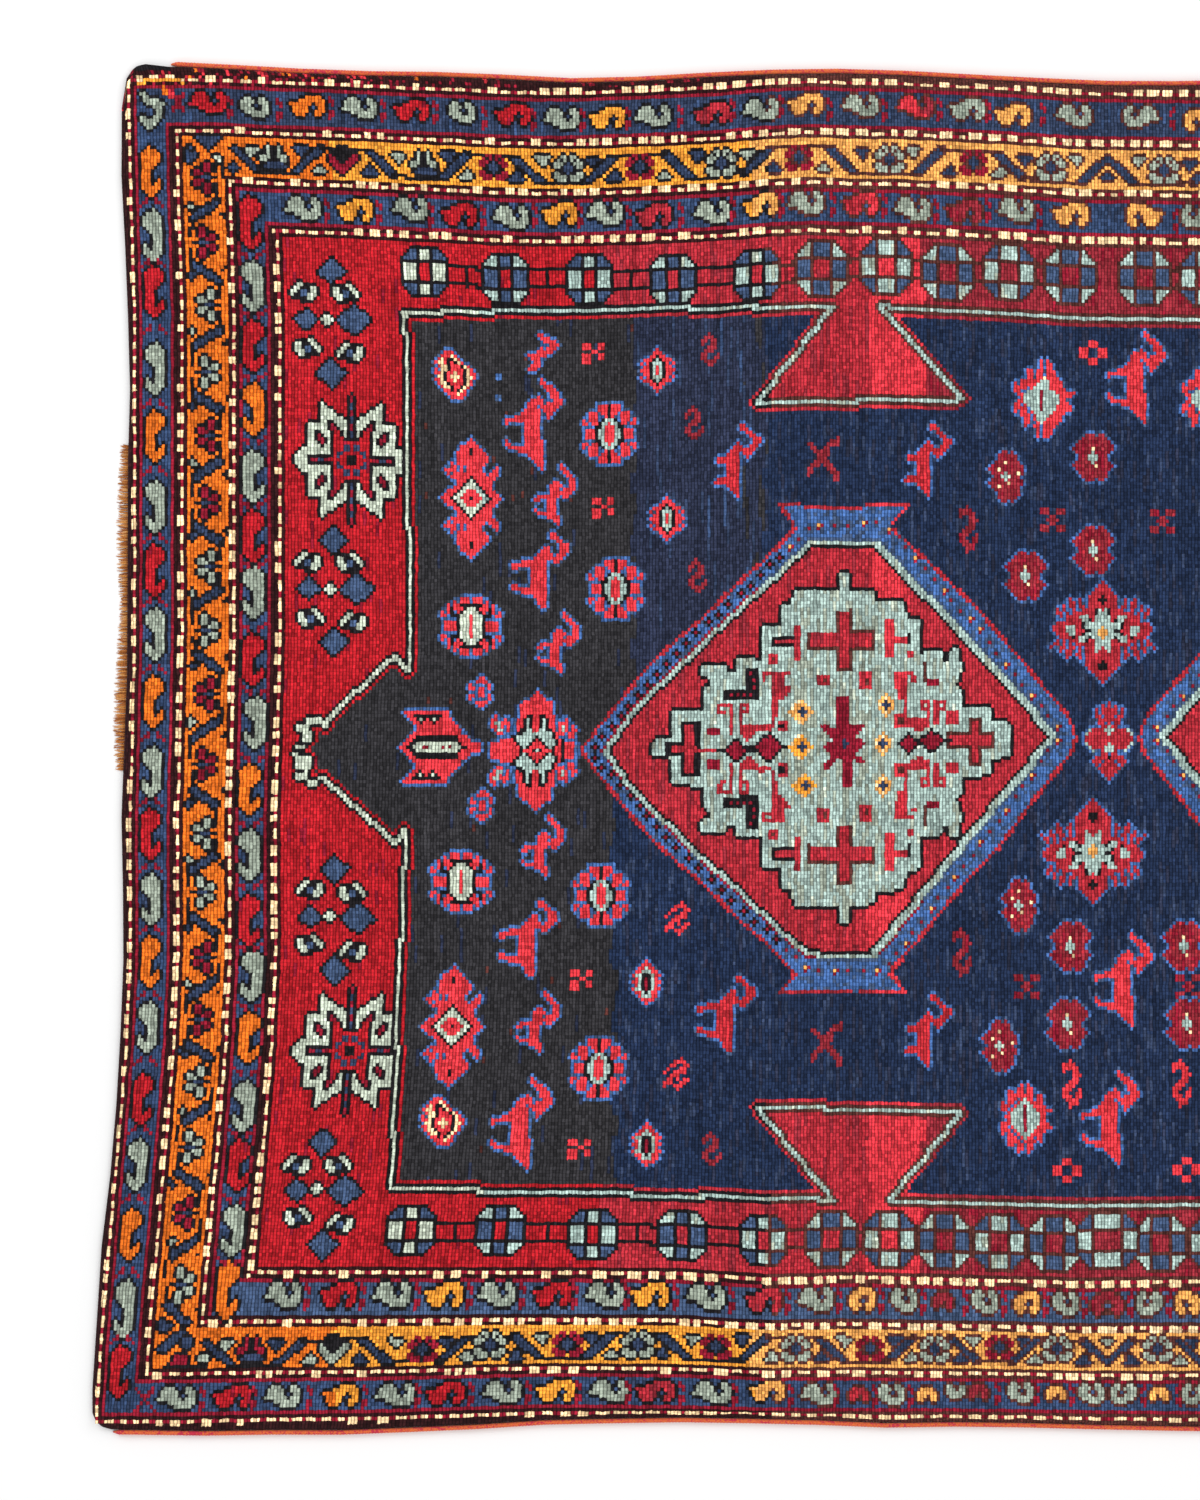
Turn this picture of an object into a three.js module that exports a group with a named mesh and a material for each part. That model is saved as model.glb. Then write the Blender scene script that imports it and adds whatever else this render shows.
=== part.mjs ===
// Kazak rug: a hand-knotted wool rug, lying flat on a level floor.
// Millimetres, +Z up. The rug's length runs along X, its width along Y and its underside is Z = 0.
// Edge tables are measured from the middle of the rug. The group is then set so that its origin
// is the middle of the bounding box, on the floor.
import * as THREE from 'three';
import { mergeVertices } from 'three/addons/utils/BufferGeometryUtils.js';

// Middle size of the weaving, which its grid and its rough places are worked out from
const MEAN_LENGTH = 1970;
const MEAN_WIDTH = 1352;

// Thickness of the weaving and the form of its rim
const PILE_TOP = 8.6;
const PILE_WAVE = 0.45;
const WAVE_ALONG = 118;
const WAVE_ACROSS = 86;
const RIM_DROP = 1.3;
const RIM_SHOULDER = 5.0;
const RIM_ROUND = 2.5;
const CORNER_RADIUS = 16;

// Grid that carries the weaving's surface, with narrow cells at the rim
const CELLS_ALONG = 34;
const CELLS_ACROSS = 24;
const RIM_CELLS = [0, 6, 16, 40];

// Pieces sewn or left at the edges
const GAP = 0.3;
const SELVEDGE_WIDTH = 5.4;
const SELVEDGE_HEIGHT = 7.4;
const SELVEDGE_SIDES = 8;
const FRINGE_TOP = 310;
const FRINGE_BOTTOM = -22;
const FRINGE_PITCH = 3.7;
const FRINGE_STRIP = 1.6;
const FRINGE_HEIGHT = 2.4;
const STRAND_WIDTH = 2.5;
const STRAND_TIP_WIDTH = 1.7;
const STRAND_LENGTH_SWING = 0.9;
const STRAND_LEAN = -0.5;
const STRAND_LEAN_SWING = 0.8;
const WELD = 1e-5;

// Outline of the weaving inside its selvedges: the two long edges by X, the two ends by Y
const UPPER_EDGE = [
  { along: -980, out: 686.0 }, { along: -954, out: 686.5 }, { along: -929, out: 683.0 },
  { along: -869, out: 680.5 }, { along: -819, out: 677.5 }, { along: -744, out: 674.5 },
  { along: -669, out: 673.5 }, { along: -594, out: 670.5 }, { along: -544, out: 667.5 },
  { along: -494, out: 667.5 }, { along: -394, out: 673.0 }, { along: -344, out: 675.5 },
  { along: -244, out: 676.5 }, { along: -169, out: 673.0 }, { along: -94, out: 669.0 },
  { along: 6, out: 664.5 }, { along: 120, out: 665.0 }, { along: 300, out: 670.0 },
  { along: 480, out: 668.5 }, { along: 650, out: 672.5 }, { along: 820, out: 674.0 },
  { along: 990, out: 673.0 },
];
const LOWER_EDGE = [
  { along: -1010, out: -680.0 }, { along: -969, out: -680.0 }, { along: -919, out: -682.0 },
  { along: -869, out: -679.0 }, { along: -794, out: -681.0 }, { along: -719, out: -678.0 },
  { along: -644, out: -676.0 }, { along: -594, out: -671.0 }, { along: -519, out: -669.5 },
  { along: -444, out: -667.5 }, { along: -294, out: -670.0 }, { along: -219, out: -673.0 },
  { along: -144, out: -672.0 }, { along: -69, out: -673.0 }, { along: 6, out: -675.0 },
  { along: 150, out: -677.0 }, { along: 320, out: -674.0 }, { along: 500, out: -676.5 },
  { along: 680, out: -673.5 }, { along: 850, out: -675.0 }, { along: 990, out: -674.0 },
];
const LEFT_END = [
  { along: 686, out: -974 }, { along: 665, out: -978 }, { along: 640, out: -982 },
  { along: 615, out: -985 }, { along: 565, out: -983 }, { along: 490, out: -979 },
  { along: 415, out: -976 }, { along: 365, out: -974 }, { along: 325, out: -976 },
  { along: 150, out: -977 }, { along: 30, out: -978 }, { along: -10, out: -981 },
  { along: -60, out: -983 }, { along: -110, out: -982 }, { along: -210, out: -981 },
  { along: -285, out: -984 }, { along: -335, out: -986 }, { along: -385, out: -992 },
  { along: -435, out: -995 }, { along: -485, out: -1002 }, { along: -560, out: -1007 },
  { along: -610, out: -1011 }, { along: -660, out: -1012 }, { along: -682, out: -1008 },
];
const RIGHT_END = [
  { along: 673, out: 982 }, { along: 550, out: 986 }, { along: 400, out: 983 },
  { along: 250, out: 987 }, { along: 50, out: 990 }, { along: -150, out: 986 },
  { along: -350, out: 989 }, { along: -550, out: 986 }, { along: -674, out: 983 },
];

// Where each selvedge begins and ends, by X
const SELVEDGES = [
  { name: 'selvedge_upper', side: 1, from: -934, to: 966 },
  { name: 'selvedge_lower', side: -1, from: -992, to: 967 },
];

// Length of the warp ends left at the left end, by Y
const STRAND_LENGTHS = [
  { along: 310, out: 6.0 }, { along: 280, out: 7.5 }, { along: 235, out: 10.0 },
  { along: 190, out: 9.5 }, { along: 140, out: 6.5 }, { along: 90, out: 10.0 },
  { along: 30, out: 11.0 }, { along: -10, out: 7.5 }, { along: -22, out: 5.0 },
];

// Smooth value of an edge table at a place along it
function edgeAt(rows, along) {
  const sorted = rows[0].along < rows[rows.length - 1].along ? rows : [...rows].reverse();
  const last = sorted.length - 1;
  const place = THREE.MathUtils.clamp(along, sorted[0].along, sorted[last].along);
  let i = 0;
  while (i < last - 1 && place > sorted[i + 1].along) i += 1;
  const slope = (k) => {
    const a = sorted[Math.max(k - 1, 0)];
    const b = sorted[Math.min(k + 1, last)];
    return (b.out - a.out) / (b.along - a.along);
  };
  const start = sorted[i];
  const end = sorted[i + 1];
  const span = end.along - start.along;
  const t = (place - start.along) / span;
  const t2 = t * t;
  const t3 = t2 * t;
  return (2 * t3 - 3 * t2 + 1) * start.out + (t3 - 2 * t2 + t) * span * slope(i)
    + (3 * t2 - 2 * t3) * end.out + (t3 - t2) * span * slope(i + 1);
}

// Fractions of a length at which the surface grid has its lines
function gridStations(length, cells) {
  const rim = RIM_CELLS.map((distance) => distance / length);
  const inner = cells - 2 * (rim.length - 1);
  const stations = [];
  for (let i = 0; i <= cells; i += 1) {
    const fromStart = rim.length - 1;
    if (i < fromStart) {
      stations.push(rim[i]);
    } else if (i > cells - fromStart) {
      stations.push(1 - rim[cells - i]);
    } else {
      const first = rim[fromStart];
      stations.push(first + ((i - fromStart) / inner) * (1 - 2 * first));
    }
  }
  return stations;
}

const ALONG_STATIONS = gridStations(MEAN_LENGTH, CELLS_ALONG);
const ACROSS_STATIONS = gridStations(MEAN_WIDTH, CELLS_ACROSS);

// Place in plan of a point at fractions s along the length and t across the width
function planPoint(s, t, inset) {
  const roughY = (t - 0.5) * MEAN_WIDTH;
  const left = edgeAt(LEFT_END, roughY) + inset;
  const right = edgeAt(RIGHT_END, roughY) - inset;
  const x = THREE.MathUtils.lerp(left, right, s);
  const lower = edgeAt(LOWER_EDGE, x) + inset;
  const upper = edgeAt(UPPER_EDGE, x) - inset;
  const y = THREE.MathUtils.lerp(lower, upper, t);
  const fromEnd = Math.min(x - left, right - x);
  const fromSide = Math.min(y - lower, upper - y);
  if (fromEnd >= CORNER_RADIUS || fromSide >= CORNER_RADIUS) return new THREE.Vector2(x, y);
  const a = CORNER_RADIUS - fromEnd;
  const b = CORNER_RADIUS - fromSide;
  const reach = Math.hypot(a, b);
  if (reach <= CORNER_RADIUS) return new THREE.Vector2(x, y);
  const pull = CORNER_RADIUS / reach;
  const signX = x - left < right - x ? 1 : -1;
  const signY = y - lower < upper - y ? 1 : -1;
  return new THREE.Vector2(x + signX * a * (1 - pull), y + signY * b * (1 - pull));
}

// Height of the clipped pile, which is never quite even
function pileHeight(x, y) {
  const broad = Math.sin(x / WAVE_ALONG + 0.6 * Math.sin(y / (2 * WAVE_ACROSS)));
  const fine = Math.sin(y / WAVE_ACROSS - x / (2 * WAVE_ALONG) + 1.3);
  return PILE_TOP + PILE_WAVE * (0.6 * broad + 0.4 * fine);
}

// One closed solid of the whole weaving, pile and ground together
function weavingGeometry() {
  const block = new THREE.BoxGeometry(1, 1, 1, CELLS_ALONG, CELLS_ACROSS, 2);
  block.deleteAttribute('normal');
  block.deleteAttribute('uv');
  const sheet = mergeVertices(block, WELD);
  const position = sheet.getAttribute('position');
  for (let i = 0; i < position.count; i += 1) {
    const column = Math.round((position.getX(i) + 0.5) * CELLS_ALONG);
    const row = Math.round((position.getY(i) + 0.5) * CELLS_ACROSS);
    const level = Math.round((position.getZ(i) + 0.5) * 2);
    const onRim = column === 0 || column === CELLS_ALONG || row === 0 || row === CELLS_ACROSS;
    const inset = level === 2 ? RIM_ROUND : 0;
    const point = planPoint(ALONG_STATIONS[column], ACROSS_STATIONS[row], inset);
    const top = pileHeight(point.x, point.y) - (onRim ? RIM_DROP : 0);
    const height = [0, RIM_SHOULDER, top][level];
    position.setXYZ(i, point.x, point.y, height);
  }
  sheet.computeVertexNormals();
  return sheet;
}

// Rim points of the weaving along one long side, where a selvedge is sewn
function sidePoints(side, from, to) {
  const t = side > 0 ? 1 : 0;
  const points = ALONG_STATIONS.map((s) => planPoint(s, t, 0));
  const inner = points.filter((point) => point.x > from + SELVEDGE_WIDTH && point.x < to - SELVEDGE_WIDTH);
  const at = (x) => {
    const next = points.findIndex((point) => point.x > x);
    const a = points[next - 1];
    const b = points[next];
    return new THREE.Vector2(x, THREE.MathUtils.mapLinear(x, a.x, b.x, a.y, b.y));
  };
  return [at(from), ...inner, at(to)];
}

// Overcast edge: a bundle of warps wrapped with wool, eight-sided with a flat underside
function selvedgeGeometry({ side, from, to }) {
  const points = sidePoints(side, from, to);
  const steps = points.length - 1;
  const bundle = new THREE.CylinderGeometry(1, 1, 1, SELVEDGE_SIDES, steps);
  bundle.deleteAttribute('normal');
  bundle.deleteAttribute('uv');
  const cord = mergeVertices(bundle, WELD);
  const position = cord.getAttribute('position');
  const flat = Math.cos(Math.PI / SELVEDGE_SIDES);
  const turn = Math.PI / SELVEDGE_SIDES;
  for (let i = 0; i < position.count; i += 1) {
    const step = Math.round((0.5 - position.getY(i)) * steps);
    const radius = Math.hypot(position.getX(i), position.getZ(i));
    const angle = Math.atan2(position.getZ(i), position.getX(i)) + turn;
    const across = (radius * Math.cos(angle)) / flat;
    const up = (radius * Math.sin(angle)) / flat;
    const centre = points[step].y + side * (GAP + SELVEDGE_WIDTH / 2);
    const y = centre + across * (SELVEDGE_WIDTH / 2);
    const z = (SELVEDGE_HEIGHT / 2) * (1 + up);
    position.setXYZ(i, points[step].x, y, Math.max(z, 0));
  }
  cord.computeVertexNormals();
  return cord;
}

// Rim of the weaving at the left end, as the straight stretches between its grid lines
function leftRimAt(y) {
  const points = ACROSS_STATIONS.map((t) => planPoint(0, t, 0));
  const next = points.findIndex((point) => point.y > y);
  const a = points[next - 1];
  const b = points[next];
  return THREE.MathUtils.mapLinear(y, a.y, b.y, a.x, b.x);
}

// Plan points of one strand and its stretch of strip: root, base and tip, each low and high in Y
function strandPoints(i) {
  const middle = FRINGE_BOTTOM + (i + 0.5) * FRINGE_PITCH;
  const low = middle - STRAND_WIDTH / 2;
  const high = middle + STRAND_WIDTH / 2;
  const length = edgeAt(STRAND_LENGTHS, middle) + STRAND_LENGTH_SWING * Math.sin(i * 2.4);
  const lean = STRAND_LEAN + STRAND_LEAN_SWING * Math.sin(i * 1.7);
  const rootLow = leftRimAt(low) - GAP;
  const rootHigh = leftRimAt(high) - GAP;
  const tip = rootLow - FRINGE_STRIP - length;
  return [
    [rootLow, low], [rootHigh, high],
    [rootLow - FRINGE_STRIP, low], [rootHigh - FRINGE_STRIP, high],
    [tip, middle + lean - STRAND_TIP_WIDTH / 2], [tip, middle + lean + STRAND_TIP_WIDTH / 2],
  ];
}

// Frayed warp ends: four-sided strands on a narrow strip beside the left end, flat on the floor
function fringeGeometry() {
  const count = Math.floor((FRINGE_TOP - FRINGE_BOTTOM) / FRINGE_PITCH);
  const places = ['rootLow', 'rootHigh', 'baseLow', 'baseHigh', 'tipLow', 'tipHigh'];
  const vertices = [];
  const index = [];
  for (let i = 0; i < count; i += 1) {
    strandPoints(i).forEach(([x, y]) => vertices.push(x, y, 0, x, y, FRINGE_HEIGHT));
  }
  const at = (i, place, top) => 2 * (i * places.length + places.indexOf(place)) + (top ? 1 : 0);
  const quad = (a, b, c, d) => index.push(a, b, c, a, c, d);
  const cap = (corners) => {
    const [a, b, c, d] = corners.map(([i, place]) => at(i, place, true));
    const [e, f, g, h] = corners.map(([i, place]) => at(i, place, false));
    quad(a, b, c, d);
    quad(h, g, f, e);
  };
  const wall = (i, place, j, next) => {
    quad(at(i, place, false), at(j, next, false), at(j, next, true), at(i, place, true));
  };
  for (let i = 0; i < count; i += 1) {
    cap([[i, 'baseLow'], [i, 'rootLow'], [i, 'rootHigh'], [i, 'baseHigh']]);
    cap([[i, 'tipLow'], [i, 'baseLow'], [i, 'baseHigh'], [i, 'tipHigh']]);
    wall(i, 'rootLow', i, 'rootHigh');
    wall(i, 'baseHigh', i, 'tipHigh');
    wall(i, 'tipHigh', i, 'tipLow');
    wall(i, 'tipLow', i, 'baseLow');
    if (i < count - 1) {
      cap([[i, 'baseHigh'], [i, 'rootHigh'], [i + 1, 'rootLow'], [i + 1, 'baseLow']]);
      wall(i, 'rootHigh', i + 1, 'rootLow');
      wall(i + 1, 'baseLow', i, 'baseHigh');
    }
  }
  wall(count - 1, 'rootHigh', count - 1, 'baseHigh');
  wall(0, 'baseLow', 0, 'rootLow');
  const comb = new THREE.BufferGeometry();
  comb.setAttribute('position', new THREE.Float32BufferAttribute(vertices, 3));
  comb.setIndex(index);
  comb.computeVertexNormals();
  return comb;
}

const pileWool = new THREE.MeshStandardMaterial({ color: 0x8e1f33, roughness: 0.95, metalness: 0 });
const selvedgeWool = new THREE.MeshStandardMaterial({ color: 0xe0653c, roughness: 0.9, metalness: 0 });
const warpWool = new THREE.MeshStandardMaterial({ color: 0xc08a55, roughness: 0.95, metalness: 0 });

function namedMesh(name, geometry, material) {
  const mesh = new THREE.Mesh(geometry, material);
  mesh.name = name;
  return mesh;
}

const group = new THREE.Group();
group.add(namedMesh('knotted_weaving', weavingGeometry(), pileWool));
SELVEDGES.forEach((row) => {
  group.add(namedMesh(row.name, selvedgeGeometry(row), selvedgeWool));
});
group.add(namedMesh('warp_end_fringe', fringeGeometry(), warpWool));

// Origin in the middle of the bounding box, on the floor
const middle = new THREE.Box3().setFromObject(group).getCenter(new THREE.Vector3());
group.position.set(-middle.x, -middle.y, 0);

export default group;
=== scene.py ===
"""Kazak rug lying flat: a hand-knotted wool rug with its wrapped selvedges and warp-end fringe.

The pattern is drawn in knots. A chart holds one wool for every knot, and each knot has its place in the
cloth. A face of the cut pile carries the wools of its four knots. The back is coarser: a face there covers
sixteen knots and carries the wools of four.
"""

import math

import bpy
import numpy as np
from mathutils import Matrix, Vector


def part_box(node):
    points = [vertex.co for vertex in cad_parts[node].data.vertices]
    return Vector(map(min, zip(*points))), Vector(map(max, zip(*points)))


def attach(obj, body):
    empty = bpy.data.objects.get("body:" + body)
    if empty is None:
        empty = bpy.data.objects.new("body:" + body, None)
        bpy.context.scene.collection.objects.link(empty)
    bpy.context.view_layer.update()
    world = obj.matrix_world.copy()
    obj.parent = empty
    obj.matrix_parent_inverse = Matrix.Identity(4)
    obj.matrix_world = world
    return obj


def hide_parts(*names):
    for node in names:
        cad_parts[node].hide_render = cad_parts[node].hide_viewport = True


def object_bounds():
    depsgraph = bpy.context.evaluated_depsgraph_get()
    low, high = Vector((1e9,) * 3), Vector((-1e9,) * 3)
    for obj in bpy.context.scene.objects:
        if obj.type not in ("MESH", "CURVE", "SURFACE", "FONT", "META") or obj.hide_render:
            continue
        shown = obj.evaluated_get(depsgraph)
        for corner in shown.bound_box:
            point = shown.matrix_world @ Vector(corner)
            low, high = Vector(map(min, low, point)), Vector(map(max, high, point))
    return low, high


bl_info = {
    "name": "Kazak rug",
    "version": (1, 0, 0),
    "blender": (4, 5, 0),
    "location": "3D View > Sidebar > Rug",
    "description": "Builds a hand-knotted kazak rug from its knot charts, on the packed frame",
    "category": "Add Mesh",
}

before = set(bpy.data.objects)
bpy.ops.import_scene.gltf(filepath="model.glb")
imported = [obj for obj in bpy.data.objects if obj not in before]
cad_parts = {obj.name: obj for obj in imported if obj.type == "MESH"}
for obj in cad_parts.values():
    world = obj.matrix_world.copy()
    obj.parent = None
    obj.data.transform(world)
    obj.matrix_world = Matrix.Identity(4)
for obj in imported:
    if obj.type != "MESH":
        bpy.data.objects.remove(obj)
cad_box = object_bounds()

MM = 0.001

# The knotting. Rows run across the rug, one row to each pass of the wefts.
ROWS = 604
COLUMNS = 388
HALF = ROWS // 2
KNOTS_PER_FACE = 2
KNOT_LENGTH = 3.25
# The least length and width of a painted block, a little over one knot.
LEAST_BLOCK = (3.3, 3.6)

# The photo shows 1 mm to the pixel. This is the pixel over the frame's origin, and the rug's middle.
PIXEL_AT_ORIGIN = (1092.95, 748.64)
PHOTO_CENTRE = (600.0, 750.0)
PHOTO_HEIGHT = 1.5
MIDDLE = 1107.5
# The frame's origin in the part's own tables, and the waves of its pile, in millimetres as there.
ORIGIN_IN_PART = (-11.05, 1.36)
WAVE_ALONG = 118
WAVE_ACROSS = 86
RIM_SHOULDER = 5 * MM

# Where the main lines of the border lie, in knots from the rug's edge and in photo pixels. The pixels are
# close to the averages of places that a script measured in the photo.
LINES_ALONG = ((0, 124), (2, 131), (17.5, 180), (32.5, 232), (45.5, 278), (84.5, 405), (302, 1107.5))
LINES_ACROSS = (
    (0, 75), (3.5, 86.5), (18.5, 137.5), (33.5, 187), (46.5, 235), (69, 313),
    (322.5, 1197), (345.5, 1277), (357.5, 1324), (372.5, 1371.5), (385.5, 1416), (388, 1424),
)
# How far those lines sway from there: across the rug by the place along it, and the other way round. Most
# of the numbers come from the same measuring, averaged and rounded. The ones past 1080 along are invented.
UPPER_SWAY = (
    (180, -6.5), (225, -6.3), (270, -4), (315, -2.5), (360, -1), (405, 1.5), (450, 3), (495, 5.5),
    (540, 6.7), (585, 6.5), (630, 5), (675, 3), (720, 1), (765, -3), (810, -5), (855, -3.4), (900, -2.8),
    (945, -0.7), (990, 1.3), (1035, 4.2), (1080, 7.2), (1224, 9), (1404, 4), (1584, 5.5), (1754, 1.5),
    (1924, 0), (2094, 1),
)
LOWER_SWAY_OUTSIDE = (
    (180, 6), (270, 4), (360, 3), (450, 0), (540, -3), (675, -2.5), (765, 0), (855, 0.5), (990, 0.8),
    (1080, 2.5), (1254, 4), (1424, 1), (1604, 3.5), (1784, 0.5), (1954, 2), (2094, 1),
)
LOWER_SWAY_INSIDE = (
    (270, -5), (450, -5), (585, -4.5), (675, -4), (765, 2), (855, 0), (990, 3.5), (1080, 5.5), (1300, 3),
    (2094, 1),
)
LEFT_SWAY = (
    (100, -4), (190, -2), (325, 2), (505, 2), (640, 2), (730, 0), (820, -2.5), (955, -2), (1045, -6),
    (1135, -13), (1225, -21), (1315, -29), (1405, -36),
)

# Letters of the wools in the charts, in the order of RugWools. A dot leaves the knot as it is, and X is
# the wool that the chart is knotted in with.
LETTERS = "FnNkdmreBwRbvVugqGcoypfs"
CODE = {letter: number for number, letter in enumerate(LETTERS)}
CODES = 32


def linear(colour):
    """The linear colour of an sRGB hex value."""
    parts = (int(colour[i : i + 2], 16) / 255 for i in (1, 3, 5))
    return tuple(p / 12.92 if p <= 0.04045 else ((p + 0.055) / 1.055) ** 2.4 for p in parts)


def wool(name, description, colour):
    """A wool's colour as a property, from sRGB hex."""
    return bpy.props.FloatVectorProperty(
        name=name, description=description, subtype="COLOR", size=3, min=0, max=1, default=linear(colour)
    )


class RugWools(bpy.types.PropertyGroup):
    """The dyed wools of the pile, in the order of the chart's letters."""

    field_black: wool("Field black", "Dark brown-black wool of the field's left part", "#2F2E31")
    grey_navy: wool("Grey navy", "Faded indigo beside the black", "#292F44")
    navy: wool("Navy", "Deep indigo of the field's right part", "#1F2C47")
    outline_black: wool("Outline black", "Corroded black wool round the motifs", "#1B191C")
    guard_brown: wool("Guard brown", "Dark brown beside the beaded lines", "#2E1416")
    crimson: wool("Crimson", "Bluish red of the fine lines and border flowers", "#86182B")
    ground_red: wool("Ground red", "Madder red of the left end", "#AC1C25")
    second_red: wool("Second red", "Madder lot of the middle part", "#AB2A35")
    bright_red: wool("Bright red", "Short bright madder lot", "#D1343F")
    dull_red: wool("Dull red", "Madder lot past the bright one", "#8D2833")
    motif_red: wool("Motif red", "Brighter madder red of the small motifs", "#DB3740")
    outer_blue: wool("Outer blue", "Indigo of the upper outer border", "#2F3B55")
    border_blue: wool("Border blue", "Indigo of the other comma borders", "#334566")
    bright_blue: wool("Bright blue", "Indigo of the diamonds and octagons", "#3E506F")
    outline_blue: wool("Outline blue", "Lighter indigo round the field motifs", "#41639B")
    celadon: wool("Celadon", "Grey-green of the commas", "#919B8D")
    light_celadon: wool("Light celadon", "Pale grey-green of the left end", "#B9C3B1")
    pale_green: wool("Pale green", "Blue-green ground of the medallion", "#9DB3AC")
    cream: wool("Cream", "Undyed wool of the beads", "#FBD7A5")
    orange: wool("Orange", "Deep orange at the left end", "#E06C20")
    yellow_orange: wool("Yellow orange", "Orange lot of the middle", "#EB9735")
    peach: wool("Peach", "Palest orange lot", "#EAA255")
    faded_brown: wool("Faded brown", "Worn brown outline of the right part", "#522C28")
    animal_red: wool("Animal red", "Duller madder red of the animals nearer the middle", "#BE2C35")


class RugSizes(bpy.types.PropertyGroup):
    """The sizes of the rug's cloth, its edge and its cords."""

    pile_height: bpy.props.FloatProperty(
        name="Pile height", description="Cloth and pile together", default=8.6 * MM, unit="LENGTH"
    )
    pile_wave: bpy.props.FloatProperty(
        name="Pile wave", description="Slow rise and fall of the worn pile", default=0.45 * MM, unit="LENGTH"
    )
    rim_drop: bpy.props.FloatProperty(
        name="Rim drop", description="How much lower the pile is at the rim", default=1.3 * MM, unit="LENGTH"
    )
    rim_shoulder: bpy.props.FloatProperty(
        name="Rim shoulder", description="Height of the upright edge", default=RIM_SHOULDER, unit="LENGTH"
    )
    rim_inset: bpy.props.FloatProperty(
        name="Rim inset", description="How far the pile leans in at the rim", default=2.2 * MM, unit="LENGTH"
    )
    knot_sway: bpy.props.FloatProperty(
        name="Knot sway", description="How far a knot strays from its row", default=0.55 * MM, unit="LENGTH"
    )
    selvedge_width: bpy.props.FloatProperty(
        name="Selvedge width", description="Width of the wrapped edge cord", default=5.2 * MM, unit="LENGTH"
    )
    selvedge_height: bpy.props.FloatProperty(
        name="Selvedge height", description="Height of the wrapped edge cord", default=7.4 * MM, unit="LENGTH"
    )
    selvedge_gap: bpy.props.FloatProperty(
        name="Selvedge gap", description="From the rim to the cord's middle", default=3 * MM, unit="LENGTH"
    )
    wrap_pitch: bpy.props.FloatProperty(
        name="Wrap pitch", description="From one turn to the next", default=3.2 * MM, unit="LENGTH"
    )
    cut_width: bpy.props.FloatProperty(
        name="Width", description="Flat width of the rug's cloth", default=1.367, unit="LENGTH"
    )
    cut_length: bpy.props.FloatProperty(
        name="Length", description="Flat length of the rug's cloth", default=1.99, unit="LENGTH"
    )


def chart_lines(text):
    """The lines of a chart written as a block or with bars between its lines."""
    return text.split("|") if "|" in text else text.split()


def mirrored(text, ways):
    """A whole chart from its left half, upper half or upper left quarter."""
    lines = chart_lines(text)
    if "x" in ways:
        lines = [line + line[-2::-1] for line in lines]
    if "y" in ways:
        lines = lines + lines[-2::-1]
    return "|".join(lines)


def photo_place(row, column):
    """Where a point of the weave lies in the photo, from its knots from the left end and the upper edge."""
    row, column = np.broadcast_arrays(np.asarray(row, float), np.asarray(column, float))
    from_end = np.interp(np.minimum(row, ROWS - row), *zip(*LINES_ALONG))
    down = np.interp(column, *zip(*LINES_ACROSS))
    near_left = np.clip((190 - row) / (190 - 84.5), 0, 1)
    x = np.where(row <= HALF, from_end, 2 * MIDDLE - from_end)
    x = x + near_left * np.interp(down, *zip(*LEFT_SWAY))
    near_top = np.clip((195 - column) / (195 - 69), 0, 1)
    near_bottom = np.clip((column - 195) / (322.5 - 195), 0, 1)
    outside = np.clip((column - 345.5) / (386.5 - 345.5), 0, 1)
    lower = (1 - outside) * np.interp(x, *zip(*LOWER_SWAY_INSIDE))
    lower = lower + outside * np.interp(x, *zip(*LOWER_SWAY_OUTSIDE))
    return x, down + near_top * np.interp(x, *zip(*UPPER_SWAY)) + near_bottom * lower


def to_frame(x, y):
    """Metres in the frame from photo pixels."""
    return (np.asarray(x) - PIXEL_AT_ORIGIN[0]) * MM, (PIXEL_AT_ORIGIN[1] - np.asarray(y)) * MM


def grown(mask):
    """A mask with the knots next to it."""
    out = mask.copy()
    out[1:] |= mask[:-1]
    out[:-1] |= mask[1:]
    out[:, 1:] |= mask[:, :-1]
    out[:, :-1] |= mask[:, 1:]
    return out


# Motifs charted from the photo, one letter to a knot. Many were read through a grid of knots that was laid
# over it.

PALMETTE = """
.................m
.................m
........q........b
........qq.......b
........qqqq.....m
........qqqqq....m
........qqqqqqq..b
........qqkkqqqqkb
....qqqqqqkmkqqqkm
....qqqqqqkmmkqqkm
....qqkkqqqkrrkqkb
....qqkmkqqkrrkqkb
....qqkmmkqkrrrkkk
....qqqkmkqkrrrrrr
....qqqqkqqkrrrbbr
..qqqqqqqqqkrrrbbr
.qqqqqqqqqqkrbbrrr
qqqqkkkkkkkkrbrrkk
qqqqkmmbbmmrrrrrkk
"""

LARGE_GOAT = """
............R.......
............RR......
.............RRR....
..............RRR...
...............RRR..
...........R...RRR..
.........RRRR...RRR.
........RRRRR.RRRRR.
........RRR.RRRRRR..
.......RRRRR.RRRR...
......RRRRRR..RR....
....RRRRRRRR..R.....
.RRRRRRRRRRR........
.R.....RRRRR........
.......RRRRR........
.......RRRRR........
.......RRRRR........
.......RRRRR........
.R.....RRRRRR.......
.RR....RRRRRR.......
..RRRRRRRRRRR.......
.....RRRRRRRR.......
........RRRRR.......
.........RRRR.......
..........RRR.......
...........RR.......
............R.......
"""

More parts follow.
